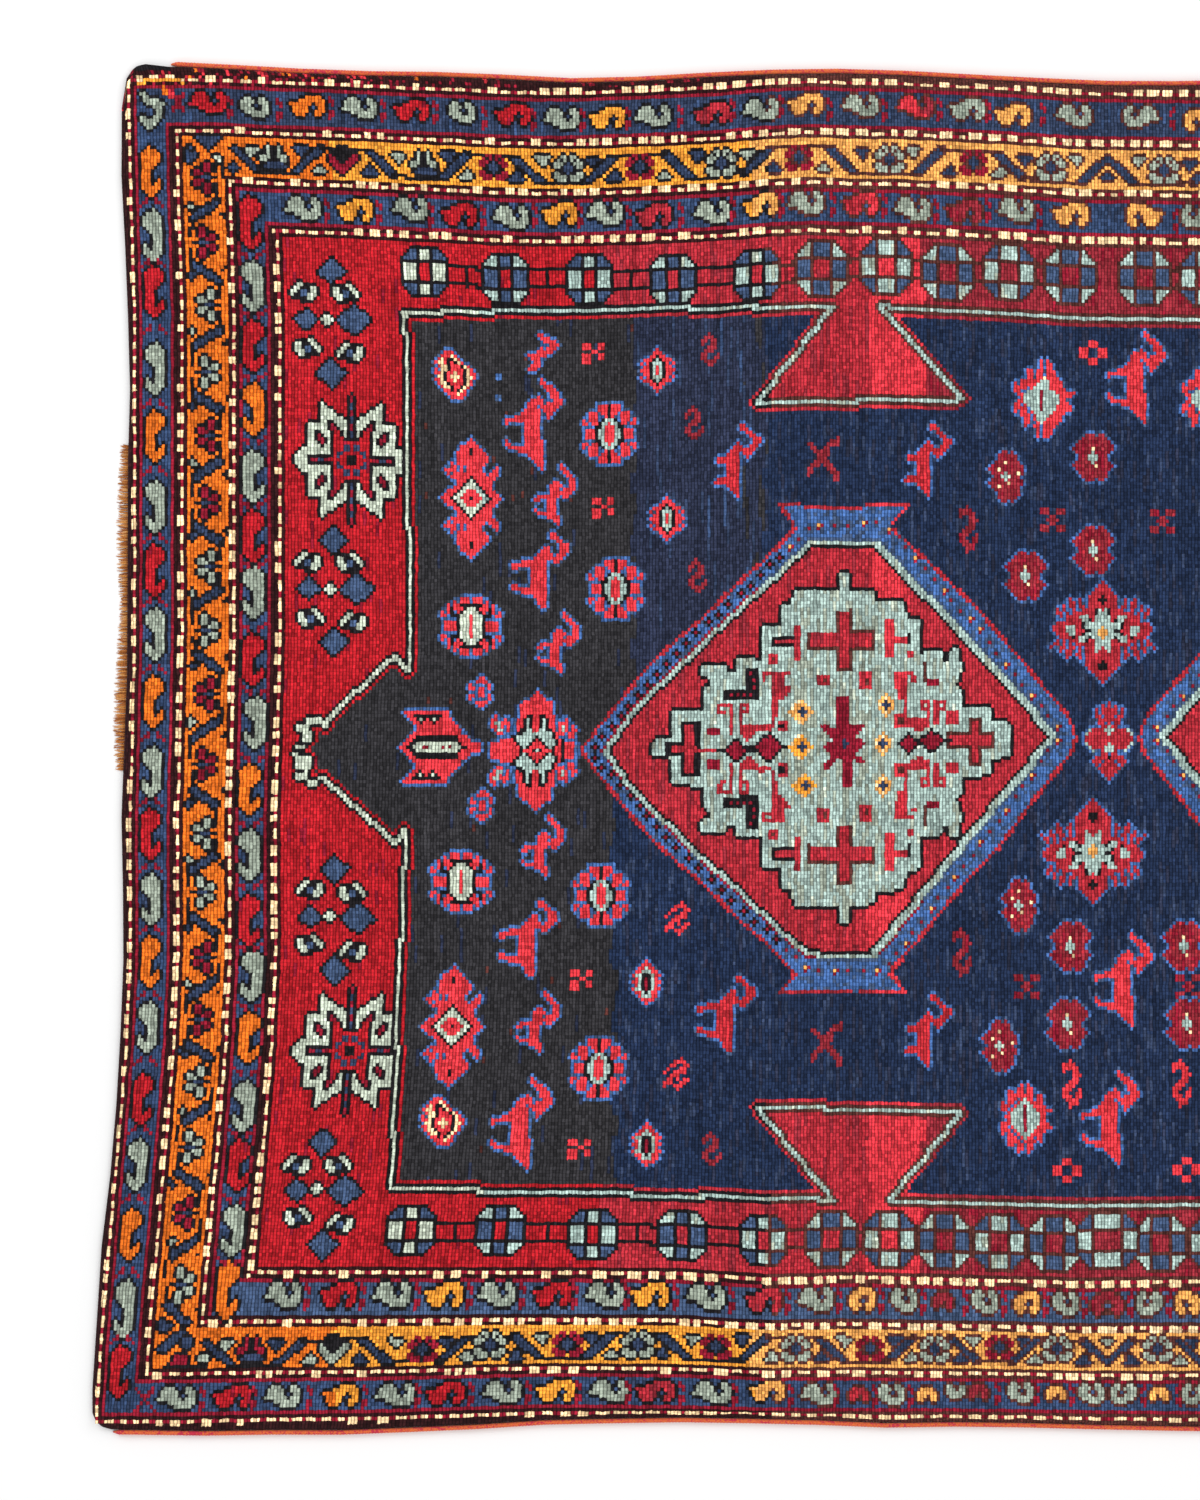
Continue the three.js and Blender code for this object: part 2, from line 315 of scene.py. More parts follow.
MEDIUM_GOAT = """
............RR....
............RRR...
..............RR..
...............RRR
..........RR...RRR
.........RRR...RRR
........RRRRR.RRR.
.......RRRRRRRRR..
...RRRRRRRR..RR...
RRRRRRRRRRR.......
RR....RRRRR.......
......RRRRR.......
......RRRRR.......
......RRRRR.......
......RRRRR.......
RR....RRRRR.......
RRRRRRRRRRR.......
...RRRRRRRR.......
.......RRRR.......
........RRR.......
........RRR.......
.........RR.......
"""

SLIM_GOAT = """
........RR.....
........RRR....
..........RR...
...........RR..
............RRR
.......R....RRR
......RRR..RRR.
.....RRRRRRRR..
....RRRR.RRR...
.RRRRRRR..R....
.RRRRRRR.......
....RRRR.......
....RRRR.......
....RRRR.......
....RRRR.......
.RRRRRRR.......
RRRRRRRR.......
....RRRR.......
.....RRR.......
......RR.......
.......R.......
"""

GOAT = """
........R.....
........RR....
.........RR...
..........RR..
...........RR.
......RR...RR.
.....RRRR..RR.
.....RRR.RRRR.
.....RRRRRRR..
.RRRRRRR.RR...
RR..RRR.......
....RRR.......
....RRR.......
R...RRR.......
.RRRRRR.......
....RRRR......
......RR......
.......R......
"""

ROSETTE = """
.......uuuu
.....uuRRRu
....uRuRRRu
..uRuRRkkkk
.uuRkRRRkqq
uRuRkuRkqqq
uRRukkkqqqR
.uuuuukqqqR
.uRRRRkqqqR
.uRRRRkqqqR
"""

MIDDLE_ROSETTE = """
.....uuuuu
.....uRRRk
...uuuRRRk
..uRRRuRRk
.uuRRRuuRk
uRuRRRukqq
uRRuRRkqqR
.uuuukkqRR
.uRRRkqqRR
.uRRRkqqRR
"""

CROSS_FLOWER = """
..........R...........
.........RRR..........
.......RRRRRR.........
.......RRRkRRR........
......RRRRkRRRR.......
......RRRRRRRRRR......
......RRRRRRRRRR......
....R.RRRRRRRRR.......
....RR.RuRRRRR....R...
..RRRR.RuRRRRR...RR...
...R.RRRRRRRRRR.RRR...
....RRRRRRkRRRRRRR....
......RRRkqkRRRRR.....
......RRkqqqkRRRR.....
.....RRkqqqqqkRRR.....
...RRRkqqRRRqqkRRR....
..RRRkqqRRRRRqqkRRR...
.RRRkqqRRRkRRRqqkRRR..
"""

LARGE_FLOWER = """
..............R............
.............RRR...........
............RRRRR..........
..........RRRRRRRRR........
.........RRRRRRRRRR........
.........RRRRRRRRRR........
.........RRRRRRRRRR........
.R.......RRkkRRkkRRR.......
RRu.Ru..RRkqkRRkqkRR..uR...
RqqRRRu.RRkqkRRkqkRR.RRRu..
RRqRuRu.RRkqkRRkqkRR.RqRuR.
.RqquRuuRkkqqRRqqkkRuRqRuRR
..RRuu..kkqqqqqqqqqkRRRuRR.
.....ukkqqqqqqkqqqqkRu.uRR.
..uRRRRkqqqqqkRkqqqqkRk.uu.
RRRRRRRRkqqqkRRRkqqqkRkRRRu
RRRRRRRRRkqkRRRRRkqkRRkRRRu
RRRRRRRRRkRRRkqkRRRkRRkRRRu
"""

ARROW_PALMETTE = """
..RRRRRRRRRRRRRR...........
...RRkkkkkkkkkRR...........
....RRkqkRkqkRRRR..........
.....RRkRRRkRRRRRR.........
......RRRRRRRRRRRRR........
......RRRRRRRRRRRRRR.......
.....RRRRRRRRRRRRRRR.......
....RRkkkkkkkkkkkkkRRR.....
...RRkkkkkkkkkkkkkkRRRR....
..RRkkqqqqqqqqqqqqqkRRRRRR.
.RRkkqqqmmqqqqmqmqqqkkRRRR.
"""

DIAMOND_FLOWER = """
...RRR.......
..RRRcR......
.RcRkkcR.....
RccRkRkcR....
.RcckRRRkcR..
R.cckRRRRkcR.
RRckRRcRRkcRR
.cckRcccRkccR
RRckRRcRRkcR.
.RcckRRRRkcR.
..RcckRRkcR..
...RRkRkcR...
....RRRcRR...
.....RRRR....
"""

KERNEL_FLOWER = """
.....R.....
....RRR....
...RRkRR...
.RRRkqkRRR.
R.RkqqqkR.R
.RRkqRqkRR.
RRRkqRqkRRR
.RRkqRqkRR.
R.RkqqqkR.R
.RRRkqkRRR.
...RRkRR...
....RRR....
.....R.....
"""

RING_FLOWER = """
....R....
...RRR...
..RRqRR..
.RRqqqRR.
RqqkkkqRR
.RqkmkqR.
RRqkmkqRR
.RqkmkqR.
RqqkmkqRR
.RRqkqRR.
..RqqqRR.
...RRRR..
....R....
"""

SPECKLED_FLOWER = """
....we.w...
...wmwwew..
...wwewmw..
..wewcwwew.
.wmwewwmwwe
wwwcwewwewm
.wewwqwwwcw
..wmqqqwww.
.wwwwqwewmw
wewmwwcwwww
.wwcwewmwe.
..wwewwwww.
...wmwewmw.
...wwwwew..
....ww.w...
"""

WIDE_SPECKLED_FLOWER = """
....wew.ww...
...mwwwwmwe..
..wwewmwwwww.
.wewmwwwwmwwm
wwwwwwcmwwwew
.wmewwqwewwm.
..wwwqqqwww..
..mewqqqwmw..
.wwwwwqwwwew.
wwmwwwmcwwwwm
.wwmwewwwmww.
..wwwwmwwwm..
...wewwwwew..
....wmw.ww...
"""

TALL_LILY = """
.........R.R........
.........R.RR.......
.........R.RR.......
.....RR.RR.RRR......
.....RR.RR.RRR......
.....RR.RRcRRRR.....
...RRRRRRqqqRRRR....
.R.RRRRRqqqqRRRR....
.RRRR.RqqqqqRRRRR...
.RR..qqqqmqqqqRRRRRR
..RRqqqqqmqqqqqRRRR.
...RqqqqqmqqqqqRR...
..RRqqqqqmqqqqqRRR..
.RR.RqqqqmqqqqRRRRR.
.RRRR.qqqmqqqqRRRRR.
.R.RR.RqqqqqqRRRR...
...RRR.RqqqqRRRR....
....RR.RqqqRRRRR....
....RR..RqRRRRR.....
....R..RR.RRRR......
........R.RRR.......
........R.RRR.......
........R.RR........
"""

LILY = """
.......R.R.......
......RR.RR......
...RR.RR.RR......
...RRRRRRRR.RR...
...RRR.RqRR.RR...
.R.RR.RqqqRRRR...
.RRR.RqqmqqRRRR..
.RR.RqqqmqqqRRRRR
...RqqqqmqqqqRR..
..RRqqqqmqqqqRR..
...RqqqqmqqqqRR..
.RRRqqqqmqqqqRRR.
.RR.RqqqmqqqRRRRR
.RRR.RqqmqqRRRR..
.R.RR.RqqqRRRR...
...RRR.RqRR.RR...
...RRRR.RRRR.R...
...RR.RR.RR......
......RR.RR......
......R..R.......
"""

STAR_FLOWER = """
................X
...............XX
..............XXX
.............XXXX
............XXXXk
......X..X..XXXkk
......XX.X..XXXXk
....X.XX.XX.XXXXX
..X.X..X..XXXXkqX
..XX.X.XXXXXXXkqq
...X.XXXXqqqXXqqq
.....XXXXXqqkXqqq
..XXXXXXXXkqqqqqq
.XXXXqqqXXkqqqqqp
.XXXXqqqXXXkkqqpp
..XXXXqqXXkqqqqpp
...XXXXkXqqqkqqqp
..X.X.XXXqqkXXqqq
.XX.X.X.XXXXXXqqq
X..XX.XX.X.XXXqqX
...X.XX..X.XXXqXX
.....XX.XX.XXXXXX
.....X...X.XXXXXX
...........XXXXXk
...........XXXXkk
............XXXkk
.............XXXX
..............XXX
...............XX
................X
"""

MIDDLE_FLOWER = """
..........X
........X.X
......X.XXX
......X.XXX
......XX.XX
.......XXXX
.......XX.X
........XXq
....qXXXXqq
...qXXXXXXq
...XXXXXXXX
...XXXXXXXX
...qXXXXXXq
....qXXXXqq
.....q..Xqq
........XX.
......XXXXk
.....XXX.XX
......X.XXX
.......XXXX
........XXX
.........XX
..........X
"""

LEAF = "..qq....|.qqk.kqq|qqkVVkqq|qkkVVqqq|...kkqq."
SMALL_CROSS = ".qq.|qqqq|.qq."
TALL_COMMA = """
..X...
.XXXX.
XXXXXX
XXXXXX
XXXXXX
XXXXX.
XXXX..
XXX...
XXX...
XXX...
XXX..X
XXX.XX
XXXXXX
.XXXX.
..XX..
"""
FIRST_COMMA = """
XX......
.XX.....
.XXXXX..
..XXXXXX
....XXX.
.....XX.
.....XX.
XX..XXX.
XXXXXX..
.XXXX...
..XX....
"""
WIDE_COMMA = ".....XXXXX.|...XXXXXXXX|XXXXXXX.XXX|.XXXXX...XX|.XXXXX..XXX|..XXX...XX."
NARROW_COMMA = "...XXXX.|.XXXXXXX|XXXX..XX|XXX...XX|XXXX.XXX|.XX..XX."
SMALL_COMMA = ".XXXX.|XXXXXX|XXX.XX|XX..XX"
CHEVRON = "..X..X..|.XX..XX.|X......X"
ANGLE = "X.|XX|.X|..|XX|XX|X."
BORDER_FLOWER = "..XX.XX..|.XkXkXkX.|XXXkbkXXX|XXkbbbkXX|.kkbbbkk.|XXkkbkkXX|XXXXkXXXX|.XXX.XXX."
TULIP = "..X..X...|..X..X...|..X..X...|XXX..XXX.|XXkkkkXX.|.kbbbbbk.|.bbbbbbb.|..kkkkk.."
FORK = "..kkkk...|.kkkkkk..|X.kkkk.XX|XX.kk.XXX|XXX..XXX.|.XXXXXX..|..XXXX...|...XX...."
SIDE_FLOWER = """
.....kk..
....kXXk.
..kkkXXk.
.kXXkXXk.
.kXXXkk..
..kkbbbkk
.kXXXkk..
.kXXkXXk.
..kkkXXk.
....kXXk.
.....kk..
"""
EIGHT_CURL = "..R...|.RRR..|RR.RR.|R..RR.|..RRR.|.RRR..|RR...R|RR..RR|.RRRR.|..RR.."
S_CURL = "..R...|RRRR..|RRRRR.|R..RR.|...RRR|...RR.|..RRR.|.RRR..|RRR..R|RR..RR|RRR.RR|.RRRR.|..RRR.|..R..."
TAILED_CURL = ".....R..|...RRRR.|..RR..RR|.R...RR.|R..RRRR.|..RRR...|.RR.R.RR|RRR..RR.|R..RRR..|....R..."
DUCK = """
...RR.....
....RRR...
.....RRRR.
.......RRR
....R.RRR.
...RRRRR..
RRRRRR....
.RRR......
..RR......
.RRR......
RRR.......
"""
FIVE_MARKS = "RRR..RR|RRR..RR|...RR..|RRR..RR|RRR..RR|RRR...."
FIVE_LARGE_MARKS = "RRR..RRR|RRR..RRR|...RR...|..RRRR..|...RR...|RRR..RRR|RRR..RRR"
RING_OF_MARKS = "...RRR...|...RRR...|RRR...RRR|RRR...RRR|RRR...RRR|...RRR...|...RRR..."
CRISS_CROSS = """
.........R
.......RRR
RR....RRRR
.RR..RR...
..RRRRR...
...RRRR...
...RRR....
..RRRRR...
.RRR.RRR..
RR....RRR.
RR.....RRR
R.......RR
........RR
"""
SCATTERED_FLOWER = "...RR..|..RRRR.|R..uu.R|RR.RR.R|.uuRRu.|RR.RR.R|R..uu.R|..RRRR.|...RR.."
PIERCED_FLOWER = "...cX...|..XXXX..|.cXXbXX.|XXXbbbXX|.XXXbXc.|..XXXX..|...cX..."
OPEN_FLOWER = "..X..|.XcX.|XXbXX|cbbbX|XXbXX|.XcX.|..X.."
CENTRAL_STAR = """
.....XXXX.....
.....XXXX.....
.....XXXX.....
.....XXXX.....
.....XXXX.....
.....XXXX.....
.....XXXX.....
.....XXXX.....
XXX..XXXXXXXXX
.XXXXXXXXXXXX.
..XXXXXXXXXX..
...XXXXXXXX...
....XXXbXXXXX.
..XXXXXbbXXXXX
.XXXXXXbXXXXX.
..XXXXXXXXXX..
...XXXXXXXX...
...XXXXXXXXXX.
..XXX..XXX.XXX
.XXX...XXX....
.XX....XXX....
.......XXX....
.......XXX....
.......XXX....
.......XXX....
.......XXX....
"""

# The tables below hold places in photo pixels, so millimetres, read with rulers laid beside the photo. A
# motif is placed by its middle.

# Commas of the left runs. Columns: place down the rug, wool, side of the hook.
LEFT_OUTER_COMMAS = (
    (170, "o", "R"), (235, "g", "L"), (290, "r", "R"), (370, "g", "L"), (435, "o", "R"), (505, "g", "L"),
    (570, "r", "R"), (635, "g", "L"), (702, "o", "R"), (770, "g", "L"), (835, "r", "R"), (900, "g", "L"),
    (962, "o", "R"), (1026, "g", "L"), (1098, "r", "R"), (1165, "g", "L"), (1235, "o", "R"),
    (1308, "g", "L"), (1372, "r", "R"),
)
LEFT_INNER_COMMAS = (
    (221, "r", "R"), (285, "g", "L"), (345, "r", "R"), (408, "o", "L"), (475, "g", "R"), (535, "r", "R"),
    (592, "g", "L"), (660, "r", "R"), (722, "g", "L"), (790, "o", "R"), (853, "g", "L"), (920, "r", "R"),
    (975, "g", "L"), (1037, "o", "R"), (1105, "g", "L"), (1165, "r", "R"), (1232, "g", "L"),
    (1290, "o", "R"),
)
# Commas of the upper and lower runs. Columns: place along the rug, wool, chart, the way it opens.
UPPER_OUTER_COMMAS = (
    (207, "r", WIDE_COMMA, "up"), (257, "g", NARROW_COMMA, "up"), (306, "o", WIDE_COMMA, "down"),
    (358, "g", WIDE_COMMA, "up"), (411, "r", WIDE_COMMA, "down"), (463, "g", NARROW_COMMA, "up"),
    (511, "r", WIDE_COMMA, "down"), (561, "g", WIDE_COMMA, "up"), (606, "o", WIDE_COMMA, "down"),
    (652, "g", WIDE_COMMA, "up"), (711, "r", WIDE_COMMA, "down"), (760, "g", WIDE_COMMA, "up"),
    (806, "o", WIDE_COMMA, "down"), (859, "g", WIDE_COMMA, "up"), (915, "r", WIDE_COMMA, "up"),
    (966, "g", WIDE_COMMA, "down"), (1013, "o", WIDE_COMMA, "down"), (1073, "g", WIDE_COMMA, "up"),
)
UPPER_INNER_COMMAS = (
    (304, "g", WIDE_COMMA, "up"), (356, "o", WIDE_COMMA, "down"), (409, "g", WIDE_COMMA, "up"),
    (459, "r", WIDE_COMMA, "down"), (511, "g", WIDE_COMMA, "up"), (560, "o", WIDE_COMMA, "down"),
    (606, "g", WIDE_COMMA, "up"), (653, "r", WIDE_COMMA, "down"), (711, "g", WIDE_COMMA, "up"),
    (761, "o", WIDE_COMMA, "down"), (807, "g", WIDE_COMMA, "up"), (859, "r", WIDE_COMMA, "down"),
    (913, "g", WIDE_COMMA, "up"), (964, "r", WIDE_COMMA, "down"), (1015, "g", WIDE_COMMA, "up"),
    (1069, "o", WIDE_COMMA, "down"),
)
LOWER_INNER_COMMAS = (
    (283, "g", WIDE_COMMA, "up"), (338, "r", WIDE_COMMA, "down"), (393, "g", WIDE_COMMA, "up"),
    (444, "o", WIDE_COMMA, "down"), (497, "g", WIDE_COMMA, "up"), (551, "r", WIDE_COMMA, "down"),
    (604, "g", WIDE_COMMA, "up"), (651, "o", WIDE_COMMA, "down"), (707, "g", WIDE_COMMA, "up"),
    (763, "r", WIDE_COMMA, "down"), (816, "g", WIDE_COMMA, "up"), (863, "o", NARROW_COMMA, "down"),
    (905, "g", NARROW_COMMA, "up"), (946, "r", SMALL_COMMA, "down"), (986, "g", NARROW_COMMA, "up"),
    (1028, "o", NARROW_COMMA, "down"), (1067, "g", NARROW_COMMA, "up"), (1105, "r", NARROW_COMMA, "down"),
)
LOWER_OUTER_COMMAS = (
    (177, "g", WIDE_COMMA, "up"), (233, "r", WIDE_COMMA, "down"), (281, "g", WIDE_COMMA, "up"),
    (340, "o", WIDE_COMMA, "down"), (395, "g", WIDE_COMMA, "up"), (446, "r", WIDE_COMMA, "down"),
    (501, "g", WIDE_COMMA, "up"), (556, "o", WIDE_COMMA, "down"), (607, "g", WIDE_COMMA, "up"),
    (655, "r", WIDE_COMMA, "down"), (711, "g", WIDE_COMMA, "up"), (766, "o", WIDE_COMMA, "down"),
    (818, "g", WIDE_COMMA, "up"), (860, "r", SMALL_COMMA, "down"), (894, "g", NARROW_COMMA, "up"),
    (929, "o", SMALL_COMMA, "down"), (956, "g", SMALL_COMMA, "up"), (979, "r", SMALL_COMMA, "down"),
    (1021, "g", NARROW_COMMA, "up"), (1058, "o", SMALL_COMMA, "down"), (1092, "g", NARROW_COMMA, "up"),
)
# Flowers of the orange runs. Columns: place, wool, chart; and for the left run the side of the stem.
UPPER_FLOWERS = (
    (276, "g", TULIP), (345, "m", FORK), (424, "g", TULIP), (492, "m", BORDER_FLOWER),
    (568, "g", BORDER_FLOWER), (640, "m", BORDER_FLOWER), (722, "g", BORDER_FLOWER),
    (799, "m", BORDER_FLOWER), (888, "g", BORDER_FLOWER), (975, "m", BORDER_FLOWER),
    (1051, "g", BORDER_FLOWER),
)
LOWER_FLOWERS = (
    (251, "m", TULIP), (335, "g", FORK), (422, "m", BORDER_FLOWER), (491, "g", BORDER_FLOWER),
    (567, "m", BORDER_FLOWER), (637, "g", BORDER_FLOWER), (717, "m", BORDER_FLOWER),
    (797, "g", BORDER_FLOWER), (870, "m", BORDER_FLOWER), (936, "g", BORDER_FLOWER),
    (998, "m", BORDER_FLOWER), (1059, "g", BORDER_FLOWER),
)
LEFT_FLOWERS = (
    (178, "m", "R"), (242, "m", "L"), (304, "g", "R"), (371, "g", "L"), (434.7, "m", "R"),
    (503, "m", "L"), (565, "g", "R"), (629, "g", "L"), (694.6, "m", "R"), (763, "m", "L"),
    (832, "g", "R"), (893, "g", "L"), (957, "m", "R"), (1020, "m", "L"), (1083, "g", "R"),
    (1147, "g", "L"), (1213, "m", "R"), (1283, "g", "L"),
)
# Loose shapes in the corners of the orange border. Columns: wool, corner points.
CORNER_SHAPES = (
    ("b", ((197, 137), (220, 137), (208.5, 150))), ("b", ((187, 149), (187, 164), (199, 156.5))),
    ("k", ((211, 152), (222, 152), (222, 157), (211, 157))),
    ("k", ((220, 160), (223, 160), (223, 186), (220, 186))),
    ("q", ((218, 154), (222, 158), (218, 163), (214, 158))),
    ("b", ((234, 163), (240, 168), (234, 173), (228, 168))),
    ("b", ((161, 1303), (170, 1303), (192, 1325), (183, 1325))),
    ("b", ((160, 1320), (173, 1326.5), (160, 1333))),
    ("b", ((178, 1332), (188, 1332), (165, 1352), (155, 1352))),
    ("b", ((181, 1336), (191, 1336), (191, 1348), (181, 1348))),
    ("m", ((171, 1364), (174, 1356), (180, 1353), (186, 1356), (188, 1364))),
    ("g", ((197, 1356), (208, 1356), (208, 1362), (197, 1362))),
)
# Strokes at the rug's corners. Columns: wool, width, points.
CORNER_STROKES = (
    ("k", 3, ((163, 1365.5), (207, 1365.5))), ("m", 4, ((172, 92), (185, 112))),
    ("m", 4, ((185, 92), (172, 112))), ("m", 4, ((136, 1389), (153, 1410))),
    ("m", 4, ((153, 1389), (136, 1410))), ("y", 3.4, ((137, 85), (150, 79), (185, 82))),
    ("o", 5, ((164, 88), (165, 94))), ("B", 5, ((170, 91), (171, 97))), ("k", 8, ((131, 66), (170, 67))),
)

# The light line round the field above and below its end, the blocks of the crown between, and the dark
# field's outline there.
FRAME_ABOVE = (
    (1108, 319), (880, 306), (963, 400), (757, 402), (833, 306), (405, 313), (411, 672), (395, 656),
    (326, 721),
)
FRAME_BELOW = (
    (321, 777), (395, 843), (406, 829), (391, 1188), (833, 1200), (757, 1107), (962, 1112), (890, 1200),
    (1108, 1205),
)
FIELD_END = ((300, 730), (297, 750), (300, 770))
# Columns: left, top, right, bottom.
CROWN_BLOCKS = (
    (305.6, 717, 320.7, 725), (320.7, 721, 328, 728), (295, 725, 308, 730), (301, 731, 312, 743),
    (294, 744, 304, 750), (291.5, 752, 297, 755), (296, 755, 310, 768), (303, 768, 307.5, 774),
    (296, 774, 308, 781), (308.5, 780, 318, 787), (317, 775, 322.6, 781),
)

# Eight-sided flowers. Columns: place along, place down, kind (A has a light cross, B a blue one).
OCTAGONS = (
    (424, 273, "A"), (507, 279, "B"), (589, 279, "A"), (674, 278, "B"), (757, 276, "A"), (822, 270, "B"),
    (887, 268, "A"), (949, 271, "B"), (1009, 273, "A"), (1070, 276, "B"), (411, 1232, "A"),
    (501, 1231, "B"), (593, 1233, "A"), (682, 1235, "B"), (764, 1239, "A"), (830, 1239, "B"),
    (889, 1239, "A"), (945, 1241, "B"), (1000, 1243, "A"), (1053, 1244, "B"), (1104, 1240, "A"),
)

# Clusters of four blue diamonds with leaves between them, by the middle of the small cross.
CLUSTERS = ((328, 319), (331, 588), (332, 917), (319, 1190))
# Columns: place of a diamond from the cluster's middle, its width and height.
CLUSTER_DIAMONDS = ((3, -48, 27, 27), (-22, 0, 24, 20), (26, 1, 35, 30), (3, 54, 29, 29))
PALMETTES = ((351, 460), (348, 1050))

# Motifs given by a quarter, and by an upper half. Columns: chart, place along, place down.
QUARTERED_MOTIFS = (
    (ROSETTE, 471, 627), (ROSETTE, 460, 880), (MIDDLE_ROSETTE, 610, 435), (MIDDLE_ROSETTE, 616, 588),
    (MIDDLE_ROSETTE, 600, 897), (MIDDLE_ROSETTE, 597, 1070),
)
HALVED_MOTIFS = (
    (CROSS_FLOWER, 473, 498), (CROSS_FLOWER, 457, 1025), (LARGE_FLOWER, 533, 750.5),
    (ARROW_PALMETTE, 438.5, 747.8),
)
# Motifs of the field with a blue outline, and small marks without. Columns: chart, place along, place down.
OUTLINED_MOTIFS = (
    (LARGE_GOAT, 535.5, 423), (GOAT, 558.6, 495), (MEDIUM_GOAT, 541.5, 571), (GOAT, 561, 643),
    (GOAT, 545, 846), (MEDIUM_GOAT, 531, 942), (GOAT, 542, 1023), (LARGE_GOAT, 523, 1122),
    (SLIM_GOAT, 737, 462), (SLIM_GOAT, 927.5, 458.5), (MEDIUM_GOAT, 727, 1015), (SLIM_GOAT, 929, 1031),
    (DIAMOND_FLOWER, 455, 376.5), (DIAMOND_FLOWER, 444, 1123), (KERNEL_FLOWER, 659, 371),
    (KERNEL_FLOWER, 666, 518), (RING_FLOWER, 645, 983.5), (RING_FLOWER, 646.4, 1146),
    (DUCK, 544.6, 351.7), (SCATTERED_FLOWER, 480, 692), (SCATTERED_FLOWER, 480, 806),
)
SMALL_MARKS = (
    (EIGHT_CURL, 712, 350), (EIGHT_CURL, 696, 426), (EIGHT_CURL, 700, 577), (EIGHT_CURL, 714, 1150),
    (S_CURL, 969, 530), (S_CURL, 965, 952.7), (TAILED_CURL, 678.4, 920), (TAILED_CURL, 677, 1075),
    (FIVE_MARKS, 593.7, 357), (FIVE_MARKS, 603, 510), (FIVE_MARKS, 580, 982), (FIVE_MARKS, 579, 1152),
    (FIVE_LARGE_MARKS, 1054.6, 518.6), (FIVE_LARGE_MARKS, 1028, 986), (CRISS_CROSS, 826.4, 457.7),
    (CRISS_CROSS, 827, 1045), ("uu|uu", 500, 378), ("uu|uu", 501, 400),
)
# Motifs near the rug's middle. Columns: chart, place along, place down, outline wool, way it is turned over.
# The ones that stand clear of the middle line have a twin on its other side.
MIDDLE_MOTIFS = (
    (LARGE_GOAT, 1137, 378, "u", ""), (LARGE_GOAT, 1126, 979, "u", ""), (LARGE_GOAT, 1112, 1117, "u", ""),
    (TALL_LILY, 1043.7, 399.2, "u", ""), (LILY, 1026.6, 1121, "u", ""),
    (SPECKLED_FLOWER, 1005.5, 476, "u", ""), (WIDE_SPECKLED_FLOWER, 1026, 578.7, "u", ""),
    (WIDE_SPECKLED_FLOWER, 1093, 458.7, "u", ""), (WIDE_SPECKLED_FLOWER, 1093, 551, "u", ""),
    (SPECKLED_FLOWER, 1019.4, 904, "u", ""), (WIDE_SPECKLED_FLOWER, 1070, 949, "u", ""),
    (WIDE_SPECKLED_FLOWER, 1067, 1025, "u", ""), (SPECKLED_FLOWER, 999, 1047, "u", ""),
    (RING_OF_MARKS, 1092, 353, "", ""), (RING_OF_MARKS, 1067, 1171, "", ""), (S_CURL, 1072, 1085, "", ""),
    (mirrored(STAR_FLOWER, "x"), 1104, 634.5, "u", ""), (mirrored(STAR_FLOWER, "x"), 1092, 852, "u", "y"),
    (mirrored(MIDDLE_FLOWER, "x"), 1108, 742, "u", ""),
)

# The medallion. Its parts above the axis are repeated below it; the axis falls a little to the right.
MEDALLION_AXIS = ((850, 748), (1000, 740))
MEDALLION_EDGE = (
    (581, 750), (595, 732), (615, 707), (635, 682), (655, 660), (679, 638), (703, 618), (727, 594),
    (745, 577), (765, 560), (795, 528), (789, 517), (780, 505), (845, 507), (909, 505), (890, 526),
    (975, 606), (1060, 706), (1070, 719), (1076, 737), (1073, 750), (1032, 802), (999, 847), (975, 871),
    (890, 973), (907, 993), (779, 993), (795, 974), (765, 942), (745, 925), (727, 908), (703, 884),
    (679, 864), (655, 842), (635, 820), (615, 795), (595, 770), (581, 750),
)
MEDALLION_LIGHT_LINE = (
    (606, 751), (627, 720), (655, 690), (675, 672), (703, 643), (735, 614), (767, 584), (785, 567),
    (809, 544), (876, 543), (975, 645), (1032, 709), (1055, 738), (975, 832), (875, 955), (810, 955),
    (785, 935), (735, 887), (703, 859), (675, 831), (655, 812), (627, 782), (606, 751),
)
# The row of dots in the medallion's blue band.
DOT_SPACING = 14.2
DOT_LINE = (
    (590, 751.6), (625, 710), (661, 668), (702, 628), (745, 590), (784, 551), (812, 525), (884, 523),
    (975, 625), (1062, 733), (985, 838), (884, 970), (812, 972), (760, 926), (716, 884), (671, 843),
    (625, 791), (590, 751.6),
)
STEPPED_GROUND = (
    (652, 748), (652, 741), (671, 738), (672, 712), (703, 710), (705, 687), (709, 686), (709, 678),
    (702, 676), (701, 664.5), (727, 664.5), (728, 672), (737, 672), (737, 659.5), (762, 659.5),
    (763, 626.5), (782, 626.5), (782, 606), (792, 606), (793, 591.5), (838, 591), (839, 571.5),
    (850, 571.5), (850, 589), (876, 590), (876, 600), (905, 601), (906, 619), (921, 619.5), (921, 653),
    (941, 651), (942, 661), (950, 661), (951, 647.5), (959, 647.5), (961, 665), (960, 679), (956, 683),
    (961, 690), (962, 706.5), (992, 707), (992.5, 722.5), (1011, 723), (1011, 748),
)
